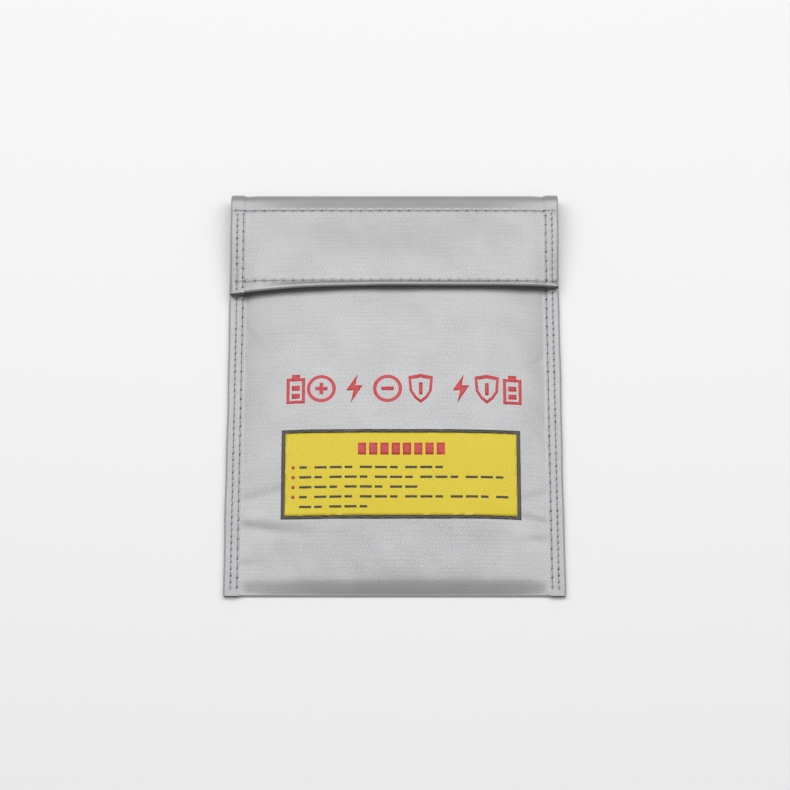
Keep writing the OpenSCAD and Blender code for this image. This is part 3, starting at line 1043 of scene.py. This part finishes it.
@dataclass
class BodyCloth:
    """The strip that is the back, the bottom fold, the front and the mouth's turned hem."""

    form: PouchForm
    finishes: Finishes
    hem_l: float = 10.0         # cloth turned in at the mouth
    hem_r: float = 0.35         # middle radius of the turned edge
    fold_steps: int = 17
    fine_rows: int = 30         # rows close together on the quick rise from the bottom
    fine_share: float = 0.07    # share of the front that they take up
    row_share: float = 1.25 / 214       # distance between the other rows, in front lengths
    settle_l: float = 7.0       # over this length the fold's end runs into the front's form
    mouth_half: float = 75.0    # half length of the mouth's row of stitches

    def fold(self, x: Array) -> list[Array]:
        """Rows of the bottom fold, from the back cloth round to the front cloth.

        Args:
            x: columns.

        Returns:
            The rows, each with a point for every column.
        """
        form = self.form
        back = form.back_z(x)
        r = STEP / 2
        last = math.pi / 2 - np.arctan(form.crown(x) * form.swell(x, 0)[1])
        angles = [-math.pi / 2 + (last + math.pi / 2) * share
                  for share in np.linspace(0, 1, self.fold_steps)]
        return [np.stack([x, -(form.fold_y - CLOTH_T / 2 - r + r * np.cos(a)),
                          back + r + r * np.sin(a)], -1) for a in angles]

    def front(self, x: Array, start: Array) -> list[Array]:
        """Rows of the front cloth, from the fold's last row up to the mouth.

        Args:
            x: columns.
            start: the fold's last row.

        Returns:
            The rows, each with a point for every column.
        """
        form = self.form
        shares = np.concatenate([np.linspace(0, self.fine_share, self.fine_rows)[1:],
                                 spread(self.fine_share, 1, self.row_share)[1:]])
        first_gap = start[:, 2] - form.front_z(x, start[:, 1])
        sewn = self.mouth_row()
        rows = []
        for share in shares:
            run = (form.mouth_y - CLOTH_T / 2 - self.hem_r - start[:, 1]) * share
            y = start[:, 1] + run
            z = form.front_z(x, y) + first_gap * (1 - smooth(run / self.settle_l))
            rows.append(np.stack([x, y, z - sewn.dimple(y - sewn.place, x)], -1))
        return rows

    def mouth_row(self) -> Row:
        """The row of stitches that holds the mouth's hem.

        Returns:
            The row, centred on the pouch.
        """
        count = int(2 * self.mouth_half / SEAM_PITCH)
        return Row(middle_of("mouth_stitches")[1], -count * SEAM_PITCH / 2, SEAM_PITCH, count,
                   depth=0.2)

    def skin(self, x: Array, y: Array) -> Array:
        """Points of the front's skin near the mouth, with its dimples."""
        row = self.mouth_row()
        z = self.form.front_z(x, y) + CLOTH_T / 2 - row.dimple(y - row.place, x)
        return np.stack([x, y, z], -1)

    def spots(self, x: Array) -> Spots:
        """Spots at x on the mouth's row."""
        return Spots.on(self.skin, x, np.full_like(x, self.mouth_row().place), 0)

    def hem(self, x: Array, last: Array) -> list[Array]:
        """Rows of the rolled mouth edge and of the cloth turned in under it.

        Args:
            x: columns.
            last: the front's last row.

        Returns:
            The rows, each with a point for every column.
        """
        r = self.hem_r
        turned = [last + np.array([0, r * math.cos(a), -r + r * math.sin(a)])
                  for a in np.radians([60, 30, 0, -30, -60, -90])]
        under = [turned[-1] + np.array([0, -back, 0]) for back in spread(1.2, self.hem_l, 1.2)]
        for row in under:
            row[:, 2] += self.form.front_z(x, row[:, 1]) - self.form.front_z(x, last[:, 1])
        return turned + under

    def build(self) -> None:
        """Build the strip for the bag."""
        form = self.form
        x = form.columns()
        back = [np.stack([x, np.full_like(x, y), form.back_z(x)], -1)
                for y in spread(form.roll_y, -form.roll_y, 5)]
        fold = self.fold(x)
        front = self.front(x, fold[-1])
        grid = np.array(back + fold + front + self.hem(x, front[-1]))
        Cloth("body_cloth", self.finishes.cloth, "silver_cloth", Body.BAG,
              ("back_panel", "front_panel", "mouth_hem")).lay(form, x, grid)


@dataclass
class FlapCloth:
    """The roll at the top, the flap's outer cloth with its turned hem, and the lining."""

    form: PouchForm
    finishes: Finishes
    hem_lag: float = 0.7        # the hem's holes lie this far right of the upper row's
    edge_in: float = 2.0        # the rows end this far inside the side edges

    def rows(self) -> tuple[Row, Row]:
        """The row of stitches under the roll and the one above the free edge.

        Returns:
            The upper and the lower row.
        """
        form = self.form
        count = int(2 * (form.half_w - self.edge_in) / SEAM_PITCH)
        first = -count * SEAM_PITCH / 2
        return (Row(form.row_y, first, SEAM_PITCH, count, depth=0.3, width=0.7),
                Row(form.hem_y, first + self.hem_lag, SEAM_PITCH, count, depth=0.3, width=0.7))

    def y_at(self, x: Array, share: float) -> Array:
        """Place of the flap's rows: share 0 is the roll, 1 and 2 the stitches, 3 the crest.

        Args:
            x: columns.
            share: from 0 at the roll's top to 3 at the crest of the free edge.

        Returns:
            y of each column.
        """
        form = self.form
        hem_row = form.hem_y + form.row_shift(x, form.hem_y)
        stops = [form.band_top(x), form.row_y + form.row_shift(x, form.row_y), hem_row,
                 hem_row - form.hem_depth(x) + form.edge_r + CLOTH_T / 2]
        part = min(int(share), 2)
        return stops[part] + (stops[part + 1] - stops[part]) * (share - part)

    def outer_z(self, x: Array, share: float) -> Array:
        """Middle of the outer cloth, with its dimples and the lifted edge.

        Args:
            x: columns.
            share: from 0 at the roll to 3 at the crest of the free edge.

        Returns:
            The height of each column.
        """
        form = self.form
        y = self.y_at(x, share)
        z = form.flap_z(x, y)
        for row in self.rows():
            z = z - row.dimple(y - row.place - form.row_shift(x, row.place), x)
        return z + form.edge_lift(x) * smooth((share - 2.2) / 0.8)

    def point(self, x: Array, share: float) -> Array:
        """Points of the outer cloth's middle."""
        return np.stack([x, self.y_at(x, share), self.outer_z(x, share)], -1)

    def build_roll(self) -> None:
        """Build the roll between the bag and the flap."""
        form = self.form
        x = form.columns()
        arc = [form.roll_point(x, turn) for turn in np.linspace(1, 0, 37)]
        grid = np.array(arc + [np.stack([x, np.full_like(x, form.roll_y), form.back_z(x)], -1)])
        Cloth("top_fold_cloth", self.finishes.cloth, "silver_cloth", None,
              ("top_fold",)).lay(form, x, grid)

    def build_outer(self) -> None:
        """Build the flap's outer cloth, from the end of its turned hem up to the roll."""
        form = self.form
        x = spread(-form.cloth_x, form.cloth_x, 0.78)
        crest = self.point(x, 3)
        r = form.edge_r
        edge = [crest + np.array([0, -r * math.cos(a), -r + r * math.sin(a)])
                for a in np.radians(np.linspace(-90, 72, 10))]
        turned = []
        # The turned hem lies under the outer cloth, flat at its stitches and open at the crest.
        for share in np.linspace(1.95, 2.95, 10):
            row = self.point(x, share)
            row[:, 2] -= 2 * r * (0.6 + 0.4 * abs(share - 2) / 0.95)
            turned.append(row)
        # Rows stand close together near the stitches, at shares 1 and 2, and at the crest.
        stops, counts = (3, 2, 1.93, 1.07, 1, 0.55, 0), (12, 9, 28, 9, 10, 5)
        shares = [3.0]
        for high, low, count in zip(stops, stops[1:], counts):
            shares += list(np.linspace(high, low, count + 1)[1:])
        grid = np.array(turned + edge + [self.point(x, share) for share in shares])
        Cloth("flap_outer_cloth", self.finishes.cloth, "silver_cloth", Body.FLAP,
              ("flap_outer",)).lay(form, x, grid)

    def build_lining(self) -> None:
        """Build the lining, which the hook tape is sewn to."""
        form = self.form
        x = spread(-form.cloth_x, form.cloth_x, 1.6)
        rows = []
        for share in np.linspace(1.9, 1.04, 24):
            y = self.y_at(x, share)
            rows.append(np.stack([x, y, form.flap_z(x, y) - STEP], -1))
        Cloth("flap_lining_cloth", self.finishes.cloth, "silver_cloth", Body.FLAP,
              ("flap_lining",), Held.LAID, ("flap_outer_cloth",)).lay(form, x, np.array(rows))

    def skin(self, x: Array, y: Array) -> Array:
        """Points of the outer skin with its dimples, or of the bindings' skin at the sides.

        Args:
            x: places across the pouch.
            y: places along it.

        Returns:
            n by 3 points.
        """
        form = self.form
        over = STEP * smooth((np.abs(x) - form.binding_x + 0.5) / 0.7)
        z = form.flap_z(x, y) + CLOTH_T / 2 + over
        for row in self.rows():
            z = z - row.dimple(y - row.place - form.row_shift(x, row.place), x)
        return np.stack([x, y, z], -1)

    def spots(self, row: Row, holes: bool) -> Spots:
        """Spots of one row's stitches or needle holes.

        Args:
            row: one of the two rows.
            holes: whether the spots are the needle holes and not the stitches.

        Returns:
            The spots.
        """
        x = row.holes() if holes else row.centres()
        y = row.place + self.form.row_shift(x, row.place)
        return Spots.on(self.skin, x, y, 0, 0.3 * row.pitch)


# ---------------------------------------------------------------- bindings

@dataclass
class SideBinding:
    """The strip folded round one side edge: on the pouch, round the roll, and on the flap."""

    form: PouchForm
    finishes: Finishes
    side: Side
    leg_w: float            # from the side edge to the strip's own edge, on each face
    outer_x: float          # distances of the two rows of stitches from the middle
    inner_x: float
    cross_rows: tuple[Row, Row]     # the flap's own rows, which run on over the strip
    outer_pitch: float = 3.6
    inner_pitch: float = SEAM_PITCH
    slants: tuple[float, float] = (14.0, 5.0)   # degrees that the rows' threads lie askew
    row_start: float = 4.2  # rows begin this far above the bottom edge
    thin_d: float = 0.36    # the hammered edge of a leg is thinner by this much
    thin_l: float = 1.5     # over this length

    @property
    def edge_x(self) -> float:
        """Outermost place of the strip's middle surface."""
        return self.form.half_w - CLOTH_T / 2

    def rows(self, low: float, high: float) -> tuple[Row, Row]:
        """The outer and the inner row between two places along the edge.

        Args:
            low: where the rows begin.
            high: where they end.

        Returns:
            The outer and the inner row.
        """
        return tuple(Row(x, low + lag, pitch, int((high - low - lag) / pitch), depth, width)
                     for x, lag, pitch, depth, width in (
                         (self.outer_x, 0.0, self.outer_pitch, 0.26, 0.6),
                         (self.inner_x, 0.8, self.inner_pitch, 0.24, 0.6)))

    def body_rows(self) -> tuple[Row, Row]:
        """Rows on the pouch."""
        return self.rows(self.form.bottom_y + self.row_start, self.form.mouth_y - 3)

    def flap_rows(self) -> tuple[Row, Row]:
        """Rows on the flap."""
        return self.rows(self.flap_end() + 2.4, self.form.row_y + 0.6)

    def flap_end(self) -> float:
        """Place of the flap's free edge at this side.

        Returns:
            Its y.
        """
        x = np.array([self.side.value * self.outer_x])
        row_y = self.form.hem_y + self.form.row_shift(x, self.form.hem_y)[0]
        return float(row_y - self.form.hem_depth(x)[0] - 0.2)

    def pressed(self, rows: Sequence[Row], x: Array, y: Array) -> Array:
        """Depth that the rows press into the strip at distances x from the middle."""
        return sum(row.dimple(x - row.place, y) for row in rows)

    def section(self, y: Array, half_h: Array, first_n: int, last_n: int) -> tuple[Array, Array]:
        """Cross-sections of the strip: distance from the middle, and offset towards its outer leg.

        Args:
            y: n places along the edge, for the waviness of the edge.
            half_h: n half heights, to the middle of the legs.
            first_n: points on the outer leg.
            last_n: points on the inner leg.

        Returns:
            Two n by m arrays.
        """
        edge = self.edge_x + 0.07 * np.cos(math.tau * (y - self.form.bottom_y) / self.outer_pitch) \
            + 0.12 * np.sin(y / 17 + self.side.value) + 0.08 * np.sin(y / 6.3)
        h = np.broadcast_to(half_h, y.shape)[:, None]
        bend_x = edge[:, None] - h
        leg = self.form.half_w - self.leg_w
        turn = np.radians(np.linspace(90, -90, 11))[None, :]
        there = leg + (bend_x - leg) * np.linspace(0, 1, first_n)[None, :-1]
        back = leg + (bend_x - leg) * np.linspace(1, 0, last_n)[None, 1:]
        return (np.concatenate([there, bend_x + h * np.cos(turn), back], 1),
                np.concatenate([h + 0 * there, h * np.sin(turn), -h + 0 * back], 1))

    def thinning(self, x: Array, offset: Array) -> Array:
        """How much thinner the hammered-down edge of each leg is.

        Args:
            x: distances from the pouch's middle.
            offset: distances from the strip's middle height.

        Returns:
            How much thinner the cloth is at each point.
        """
        edge = self.form.half_w - self.leg_w
        near = smooth((edge + self.thin_l - x) / self.thin_l)
        return self.thin_d * near * (np.abs(offset) > 0.5 * STEP)

    def finish(self, name: str, grid: Array, thin: Array, body: Body | None,
               nodes: tuple[str, ...] = ()) -> None:
        """Make a length of the strip from its middle surface and hand it over.

        Args:
            name: name of the piece.
            grid: n by m points of the middle surface.
            thin: how much thinner the cloth is at each point.
            body: the body it rides on, or None on the roll.
            nodes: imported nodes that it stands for.
        """
        middle = grid[len(grid) // 2]
        steps = np.linalg.norm(np.diff(middle, axis=0), axis=1)
        across = np.concatenate([[0], np.cumsum(steps)])
        Cloth(name, self.finishes.binding, "binding_cloth", body, nodes).lay(
            self.form, across, grid, CLOTH_T - thin)

    def flap_pressed(self, x: Array, y: Array) -> Array:
        """Depth that its own rows and the flap's rows press into the strip on the flap.

        Args:
            x: distances from the pouch's middle.
            y: places along the edge.

        Returns:
            The depth, in millimetres.
        """
        depth = self.pressed(self.flap_rows(), x, y)
        for row in self.cross_rows:
            shift = self.form.row_shift(x, row.place)
            depth = depth + row.dimple(y - row.place - shift, self.side.value * x)
        return depth

    def body_stack(self, y: Array) -> tuple[Array, Array]:
        """Middle height and half height of the strip on the pouch, at y.

        Args:
            y: places along the edge.

        Returns:
            Two arrays; the half height reaches to the middle of a leg.
        """
        past_mouth = smooth((y - self.form.mouth_y + 0.5) / 3)
        lift = self.form.mouth_lift(y) * (1 - past_mouth)
        half_h = (1.5 * STEP + lift / 2) * (1 - past_mouth) + STEP * past_mouth
        return CLOTH_T / 2 + half_h, half_h

    def body_skin(self, x: Array, y: Array) -> Array:
        """Points of the strip's upper skin on the pouch, at distances x from the middle.

        Args:
            x: distances from the pouch's middle.
            y: places along the edge.

        Returns:
            n by 3 points.
        """
        middle, half_h = self.body_stack(y)
        z = middle + half_h + CLOTH_T / 2 - self.pressed(self.body_rows(), x, y)
        return np.stack([self.side.value * x, y, z], -1)

    def flap_skin(self, x: Array, y: Array) -> Array:
        """Points of the strip's upper skin on the flap."""
        z = self.form.flap_z(x, y) + STEP + CLOTH_T / 2 - self.flap_pressed(x, y)
        return np.stack([self.side.value * x, y, z], -1)

    def build(self) -> None:
        """Build the three lengths of the strip."""
        form, side = self.form, self.side
        label = side.name.lower()
        y = spread(form.bottom_y + 0.5, form.roll_y, 0.5)
        middle, half_h = self.body_stack(y)
        x, offset = self.section(y, half_h, 5, 16)
        top = offset < -0.5 * half_h[:, None]
        thin = self.thinning(x, offset)
        z = middle[:, None] - offset - top * self.pressed(self.body_rows(), x, y[:, None])
        grid = np.stack([side.value * x, y[:, None] + 0 * x, z + np.sign(offset) * thin / 2], -1)
        self.finish(f"{label}_side_binding_cloth", grid, thin, Body.BAG,
                    (f"{label}_side_binding",))

        turns = np.linspace(0, 1, 37)
        x, offset = self.section(form.fold_y + 3 * turns, np.full(37, STEP), 12, 12)
        thin = self.thinning(x, offset)
        offset = offset - np.sign(offset) * thin / 2
        signed = side.value * x
        grid = np.array([form.roll_point(signed[i], turn, offset[i]) for i, turn in enumerate(turns)])
        start = grid[:1].copy()
        start[..., 1] = form.roll_y
        self.finish(f"{label}_roll_binding_cloth", np.concatenate([start, grid]),
                    np.concatenate([thin[:1], thin]), None)

        y = spread(float(form.band_top(np.array(form.half_w))), self.flap_end(), 0.5)
        lined = smooth((form.row_y + 2 - y) / 3)
        hemmed = smooth((form.hem_y + 5 - y) / 2.5)
        half_h = STEP * (1 + 0.5 * lined + 0.55 * hemmed)
        x, offset = self.section(y, half_h, 16, 5)
        signed = side.value * x
        slope = (form.flap_z(signed, y[:, None] + 0.2) - form.flap_z(signed, y[:, None] - 0.2)) / 0.4
        tilt = np.arctan(slope)
        depth = (offset > 0.5 * half_h[:, None]) * self.flap_pressed(x, y[:, None])
        thin = self.thinning(x, offset)
        away = offset + STEP - half_h[:, None] - depth - np.sign(offset) * thin / 2
        grid = np.stack([signed, y[:, None] - away * np.sin(tilt),
                         form.flap_z(signed, y[:, None]) + away * np.cos(tilt)], -1)
        self.finish(f"flap_{label}_binding_cloth", grid, thin, Body.FLAP,
                    (f"flap_{label}_binding",))

    def sew(self) -> None:
        """Sew the rows on the pouch and on the flap."""
        label = self.side.name.lower()
        nodes = (f"{label}_edge_stitches", f"{label}_seam_stitches")
        for row, node, angle in zip(self.body_rows(), nodes, self.slants):
            self.sew_row(row, self.body_skin, node, Body.BAG, angle, node)
        for row, part, angle in zip(self.flap_rows(), ("edge", "seam"), self.slants):
            self.sew_row(row, self.flap_skin, f"flap_{label}_{part}_stitches", Body.FLAP, angle,
                         f"flap_{label}_stitches")

    def sew_row(self, row: Row, skin: Surface, name: str, body: Body, angle: float,
                replaced: str) -> None:
        """Sew one row on one skin.

        Args:
            row: the row.
            skin: the surface it is sewn on.
            name: name of its pieces.
            body: the body they ride on.
            angle: degrees that the threads lie askew.
            replaced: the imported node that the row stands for.
        """
        groups = []
        for y in (row.centres(), row.holes()):
            spots = Spots.on(skin, np.full_like(y, row.place), y, 1)
            groups.append(Spots(spots.place, spots.outward * self.side.value, spots.onward))
        hole = WIDE_HOLE if row.place == self.outer_x else FINE_HOLE
        sew(name, groups[0].turned(angle, 3.0, row.count), groups[1], row.pitch, body, replaced,
            self.finishes, hole)


def sew(name: str, threads: Spots, holes: Spots, pitch: float, body: Body, replaced: str,
        finishes: Finishes, hole: BentFibre = FINE_HOLE) -> None:
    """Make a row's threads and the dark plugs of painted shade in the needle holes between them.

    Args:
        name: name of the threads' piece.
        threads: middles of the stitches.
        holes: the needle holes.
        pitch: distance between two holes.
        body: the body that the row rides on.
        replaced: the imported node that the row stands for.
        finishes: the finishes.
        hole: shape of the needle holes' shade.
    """
    seed = sum(name.encode())
    piece = fibres_on(name + "_thread", threads, stitch_fibre(pitch), finishes.thread, seed)
    # The dark plugs are painted shade in the needle holes.
    shade = fibres_on(name + "_holes", holes, hole, finishes.hole, seed + 1)
    for made in (piece, shade):
        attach(made, body.value)
        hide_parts(replaced)
    LOG.info("%s: %d stitches", name, len(threads.place))


# ---------------------------------------------------------------- closure tapes

@dataclass
class ClosureTapes:
    """Loop tape on the front, hook tape on the lining, and the rows that hold them."""

    form: PouchForm
    finishes: Finishes
    base_t: float = 0.5         # thickness of the ground
    gap: float = 0.1            # between a tape and the cloth under it
    rooted: float = 0.05        # hooks and loops start this deep in the ground
    loop_step: float = 1.5      # sparser than real loops and hooks, whose fields are far denser
    hook_step: float = 1.9
    loop_jitter: float = 0.3
    loop_turn: float = 50.0     # degrees of scatter; hooks stand in even rows
    hook_turn: float = 4.0
    thread_lift: float = 0.12   # threads lie on top of the hooks' and loops' roots

    def strip(self, name: str, node: str, height: Surface, body: Body,
              slot: str) -> None:
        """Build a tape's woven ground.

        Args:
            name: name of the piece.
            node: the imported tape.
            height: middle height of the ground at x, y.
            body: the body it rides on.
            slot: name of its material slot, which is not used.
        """
        low, high = box_mm(node)
        x = spread(low[0] + 0.2, high[0] - 0.2, 1.5)
        grid = np.array([np.stack([x, np.full_like(x, y), height(x, np.full_like(x, y))], -1)
                         for y in spread(low[1], high[1], 1.25)])
        under = "body_cloth" if body is Body.BAG else "flap_lining_cloth"
        Cloth(name, self.finishes.ground, slot, body, (node,), Held.LAID, (under,)).lay(
            self.form, x, grid, self.base_t)

    def pile(self, name: str, node: str, skin: Surface, fibre: BentFibre,
             step: float, up: bool) -> bpy.types.Object:
        """Stand a field of loops or hooks on a tape.

        Args:
            name: name of the piece.
            node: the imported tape.
            skin: the ground's outer face.
            fibre: shape of one hook or loop.
            step: distance between two of them.
            up: whether they are loops, which face up, and not hooks.

        Returns:
            The field as one mesh.
        """
        low, high = box_mm(node)
        xs = spread(low[0] + 1.2, high[0] - 1.2, step)
        ys = spread(low[1] + 1.0, high[1] - 1.0, step)
        x, y = (part.ravel() for part in np.meshgrid(xs, ys))
        random = np.random.default_rng(len(x))
        x = x + random.uniform(-self.loop_jitter, self.loop_jitter, x.shape) * up
        y = y + random.uniform(-self.loop_jitter, self.loop_jitter, y.shape) * up
        spots = Spots.on(skin, x, y, 1)
        if not up:
            spots = Spots(spots.place, -spots.outward, spots.onward)
        turned = spots.turned(0, self.loop_turn if up else self.hook_turn, len(x))
        finish = self.finishes.loops if up else self.finishes.hooks
        return fibres_on(name, turned, fibre, finish, len(x))

    def loop_z(self, x: Array, y: Array) -> Array:
        """Middle of the loop tape's ground."""
        return self.form.front_z(x, y) + CLOTH_T / 2 + self.gap + self.base_t / 2

    def hook_z(self, x: Array, y: Array) -> Array:
        """Middle of the hook tape's ground."""
        return self.form.flap_z(x, y) - STEP - CLOTH_T / 2 - self.gap - self.base_t / 2

    def build(self) -> None:
        """Build both tapes and sew them on."""
        def loop_skin(x: Array, y: Array) -> Array:
            """Upper face of the loop tape."""
            return np.stack([x, y, self.loop_z(x, y) + self.base_t / 2 - self.rooted], -1)

        def hook_skin(x: Array, y: Array) -> Array:
            """Lower face of the hook tape."""
            return np.stack([x, y, self.hook_z(x, y) - self.base_t / 2 + self.rooted], -1)

        self.strip("loop_tape_ground", "loop_tape", self.loop_z, Body.BAG, "loop_pile")
        self.strip("hook_tape_ground", "hook_tape", self.hook_z, Body.FLAP, "hook_field")
        for name, node, skin, fibre, step, body, slot in (
                ("loop_pile", "loop_tape", loop_skin, LOOP, self.loop_step, Body.BAG, "loop_pile"),
                ("hook_field", "hook_tape", hook_skin, HOOK, self.hook_step, Body.FLAP,
                 "hook_field")):
            piece = self.pile(name, node, skin, fibre, step, body is Body.BAG)
            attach(piece, body.value)
            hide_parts(node)
            LOG.info("%s: %d faces", name, len(piece.data.polygons))
        self.sew_edges("loop_tape_stitches", loop_skin, Body.BAG)
        self.sew_edges("hook_tape_stitches", hook_skin, Body.FLAP)

    def sew_edges(self, node: str, skin: Surface, body: Body) -> None:
        """Sew the two rows along a tape's long edges.

        Args:
            node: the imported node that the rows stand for.
            skin: the tape's outer face.
            body: the body that they ride on.
        """
        low, high = box_mm(node)
        count = int((high[0] - low[0]) / SEAM_PITCH)
        row = Row(0, -count * SEAM_PITCH / 2, SEAM_PITCH, count)
        sign = 1 if body is Body.BAG else -1
        groups = []
        for x in (row.centres(), row.holes()):
            spots = Spots.joined([Spots.on(skin, x, np.full_like(x, y), 0)
                                  for y in (low[1] + 0.3, high[1] - 0.3)])
            lifted = spots.place + spots.outward * sign * self.thread_lift
            groups.append(Spots(lifted, spots.outward * sign, spots.onward))
        sew(node, groups[0], groups[1], SEAM_PITCH, body, node, self.finishes)


# ---------------------------------------------------------------- prints

@dataclass
class Print:
    """A film of ink that keeps a packed film's outline and lies on the real front cloth."""

    form: PouchForm
    node: str
    finish: bpy.types.Material
    slot: str
    height: float           # top of the film over the cloth's skin
    sunk: float = 0.12      # its underside lies this deep in the cloth
    edge_l: float = 2.2     # edges are cut until they are no longer than this

    def build(self) -> None:
        """Build the film."""
        mesh = bpy.data.objects[self.node].data.copy()
        mesh.name = self.node + "_film"
        made = bmesh.new()
        made.from_mesh(mesh)
        bmesh.ops.remove_doubles(made, verts=made.verts, dist=1e-6)
        for _ in range(6):
            long_edges = [e for e in made.edges if e.calc_length() > self.edge_l * MM]
            if not long_edges:
                break
            bmesh.ops.subdivide_edges(made, edges=long_edges, cuts=1)
            bmesh.ops.triangulate(made, faces=[f for f in made.faces if len(f.verts) > 4])
        made.normal_update()
        for v in made.verts:
            x, y = np.array(v.co.x / MM), np.array(v.co.y / MM)
            skin = float(self.form.front_z(x, y)) + CLOTH_T / 2
            v.co.z = (skin + (self.height if v.normal.z > 0 else -self.sunk)) * MM
        bmesh.ops.recalc_face_normals(made, faces=made.faces)
        made.to_mesh(mesh)
        made.free()
        mesh.materials.clear()
        mesh.materials.append(self.finish)
        mesh.polygons.foreach_set("use_smooth", [True] * len(mesh.polygons))
        mesh.set_sharp_from_angle(angle=math.radians(50))
        piece = linked(self.node + "_film", mesh)
        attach(piece, Body.BAG.value)
        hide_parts(self.node)
        LOG.info("%s: %d faces", piece.name, len(mesh.polygons))


# ---------------------------------------------------------------- studio

@dataclass(frozen=True)
class Studio:
    """Pale floor, a broad softbox behind the pouch, a ceiling light, and the camera in front.

    Lengths are in metres and angles in degrees above the table.
    """

    distance: float = 1.494
    elevation: float = 69.0
    lens: float = 126.5
    aim: tuple[float, float, float] = (0.0003, -0.0025, 0.0045)
    floor_size: float = 4.0
    floor_z: float = -0.0002
    floor_colour: str = "#e7e7e7"
    floor_roughness: float = 0.8
    box_size: tuple[float, float] = (3.4, 0.8)
    box_distance: float = 1.3
    box_elevation: float = 69.0
    box_power: float = 22.0
    ceiling_size: tuple[float, float] = (4.0, 3.0)
    ceiling_place: tuple[float, float, float] = (0, -0.3, 1.9)
    ceiling_power: float = 6.0
    sky: float = 0.4

    def add_camera(self) -> None:
        """Make the scene's camera, looking at the pouch's middle."""
        data = bpy.data.cameras.new("camera")
        data.lens = self.lens
        camera = bpy.data.objects.new("camera", data)
        bpy.context.scene.collection.objects.link(camera)
        angle = math.radians(self.elevation)
        x, y, z = self.aim
        camera.location = (x, y - self.distance * math.cos(angle),
                           z + self.distance * math.sin(angle))
        camera.rotation_euler = (math.pi / 2 - angle, 0, 0)
        bpy.context.scene.camera = camera

    def add_floor(self) -> None:
        """Make the floor that the pouch lies on: a pale board with an even matt paint."""
        bpy.ops.mesh.primitive_plane_add(size=self.floor_size, location=(0, 0, self.floor_z))
        floor = bpy.context.object
        floor.name = "floor"
        made, _, shader = start_material("painted_board_pale")
        shader.inputs["Base Color"].default_value = linear(self.floor_colour)
        shader.inputs["Roughness"].default_value = self.floor_roughness
        floor.data.materials.append(made)

    def add_panel(self, name: str, size: tuple[float, float], power: float,
                  place: tuple[float, float, float], tilt: float) -> None:
        """Add a rectangular light.

        Args:
            name: name of the light.
            size: its two sides.
            power: its power in watts.
            place: its middle.
            tilt: turn about X, in radians, from facing straight down.
        """
        data = bpy.data.lights.new(name, "AREA")
        data.shape = "RECTANGLE"
        data.size, data.size_y = size
        data.energy = power
        panel = bpy.data.objects.new(name, data)
        panel.location = place
        panel.rotation_euler = (tilt, 0, 0)
        bpy.context.scene.collection.objects.link(panel)

    def add_lights(self) -> None:
        """Make the softbox, the ceiling light and the sky's even fill."""
        scene = bpy.context.scene
        scene.view_settings.view_transform = "Standard"
        world = bpy.data.worlds.new("studio_air")
        world.use_nodes = True
        shade = world.node_tree.nodes["Background"]
        shade.inputs["Color"].default_value = (1, 1, 1, 1)
        shade.inputs["Strength"].default_value = self.sky
        scene.world = world
        angle = math.radians(self.box_elevation)
        box_place = (0, self.box_distance * math.cos(angle), self.box_distance * math.sin(angle))
        self.add_panel("softbox", self.box_size, self.box_power, box_place, angle - math.pi / 2)
        self.add_panel("ceiling", self.ceiling_size, self.ceiling_power, self.ceiling_place, 0)


# ---------------------------------------------------------------- assembly

def build_pouch() -> None:
    """Build every piece of the pouch."""
    form = PouchForm.from_frame()
    finishes = Finishes()
    body = BodyCloth(form, finishes)
    body.build()
    flap = FlapCloth(form, finishes)
    flap.build_roll()
    flap.build_outer()
    flap.build_lining()
    for node, row in zip(("flap_top_stitches", "flap_hem_stitches"), flap.rows()):
        sew(node, flap.spots(row, False), flap.spots(row, True), row.pitch, Body.FLAP, node, finishes)
    mouth = body.mouth_row()
    sew("mouth_stitches", body.spots(mouth.centres()), body.spots(mouth.holes()), mouth.pitch,
        Body.BAG, "mouth_stitches", finishes)
    for binding in (SideBinding(form, finishes, Side.LEFT, 8.1, 86.2, 82.8, flap.rows()),
                    SideBinding(form, finishes, Side.RIGHT, 7.8, 86.4, 83.0, flap.rows())):
        binding.build()
        binding.sew()
    ClosureTapes(form, finishes).build()
    for node, finish, slot, height in (
            ("title_print", finishes.red, "red_ink", 0.05),
            ("label_field", finishes.yellow, "yellow_ink", 0.05),
            ("label_border", finishes.dark, "dark_ink", 0.07),
            ("label_heading", finishes.red, "red_ink", 0.1),
            ("label_lines", finishes.dark, "dark_ink", 0.1)):
        Print(form, node, finish, slot, height).build()


def main() -> None:
    """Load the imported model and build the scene."""
    logging.basicConfig(level=logging.INFO, format="%(name)s: %(message)s")
    studio = Studio()
    studio.add_camera()
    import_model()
    studio.add_floor()
    studio.add_lights()
    build_pouch()


if __name__ == "__main__":
    main()
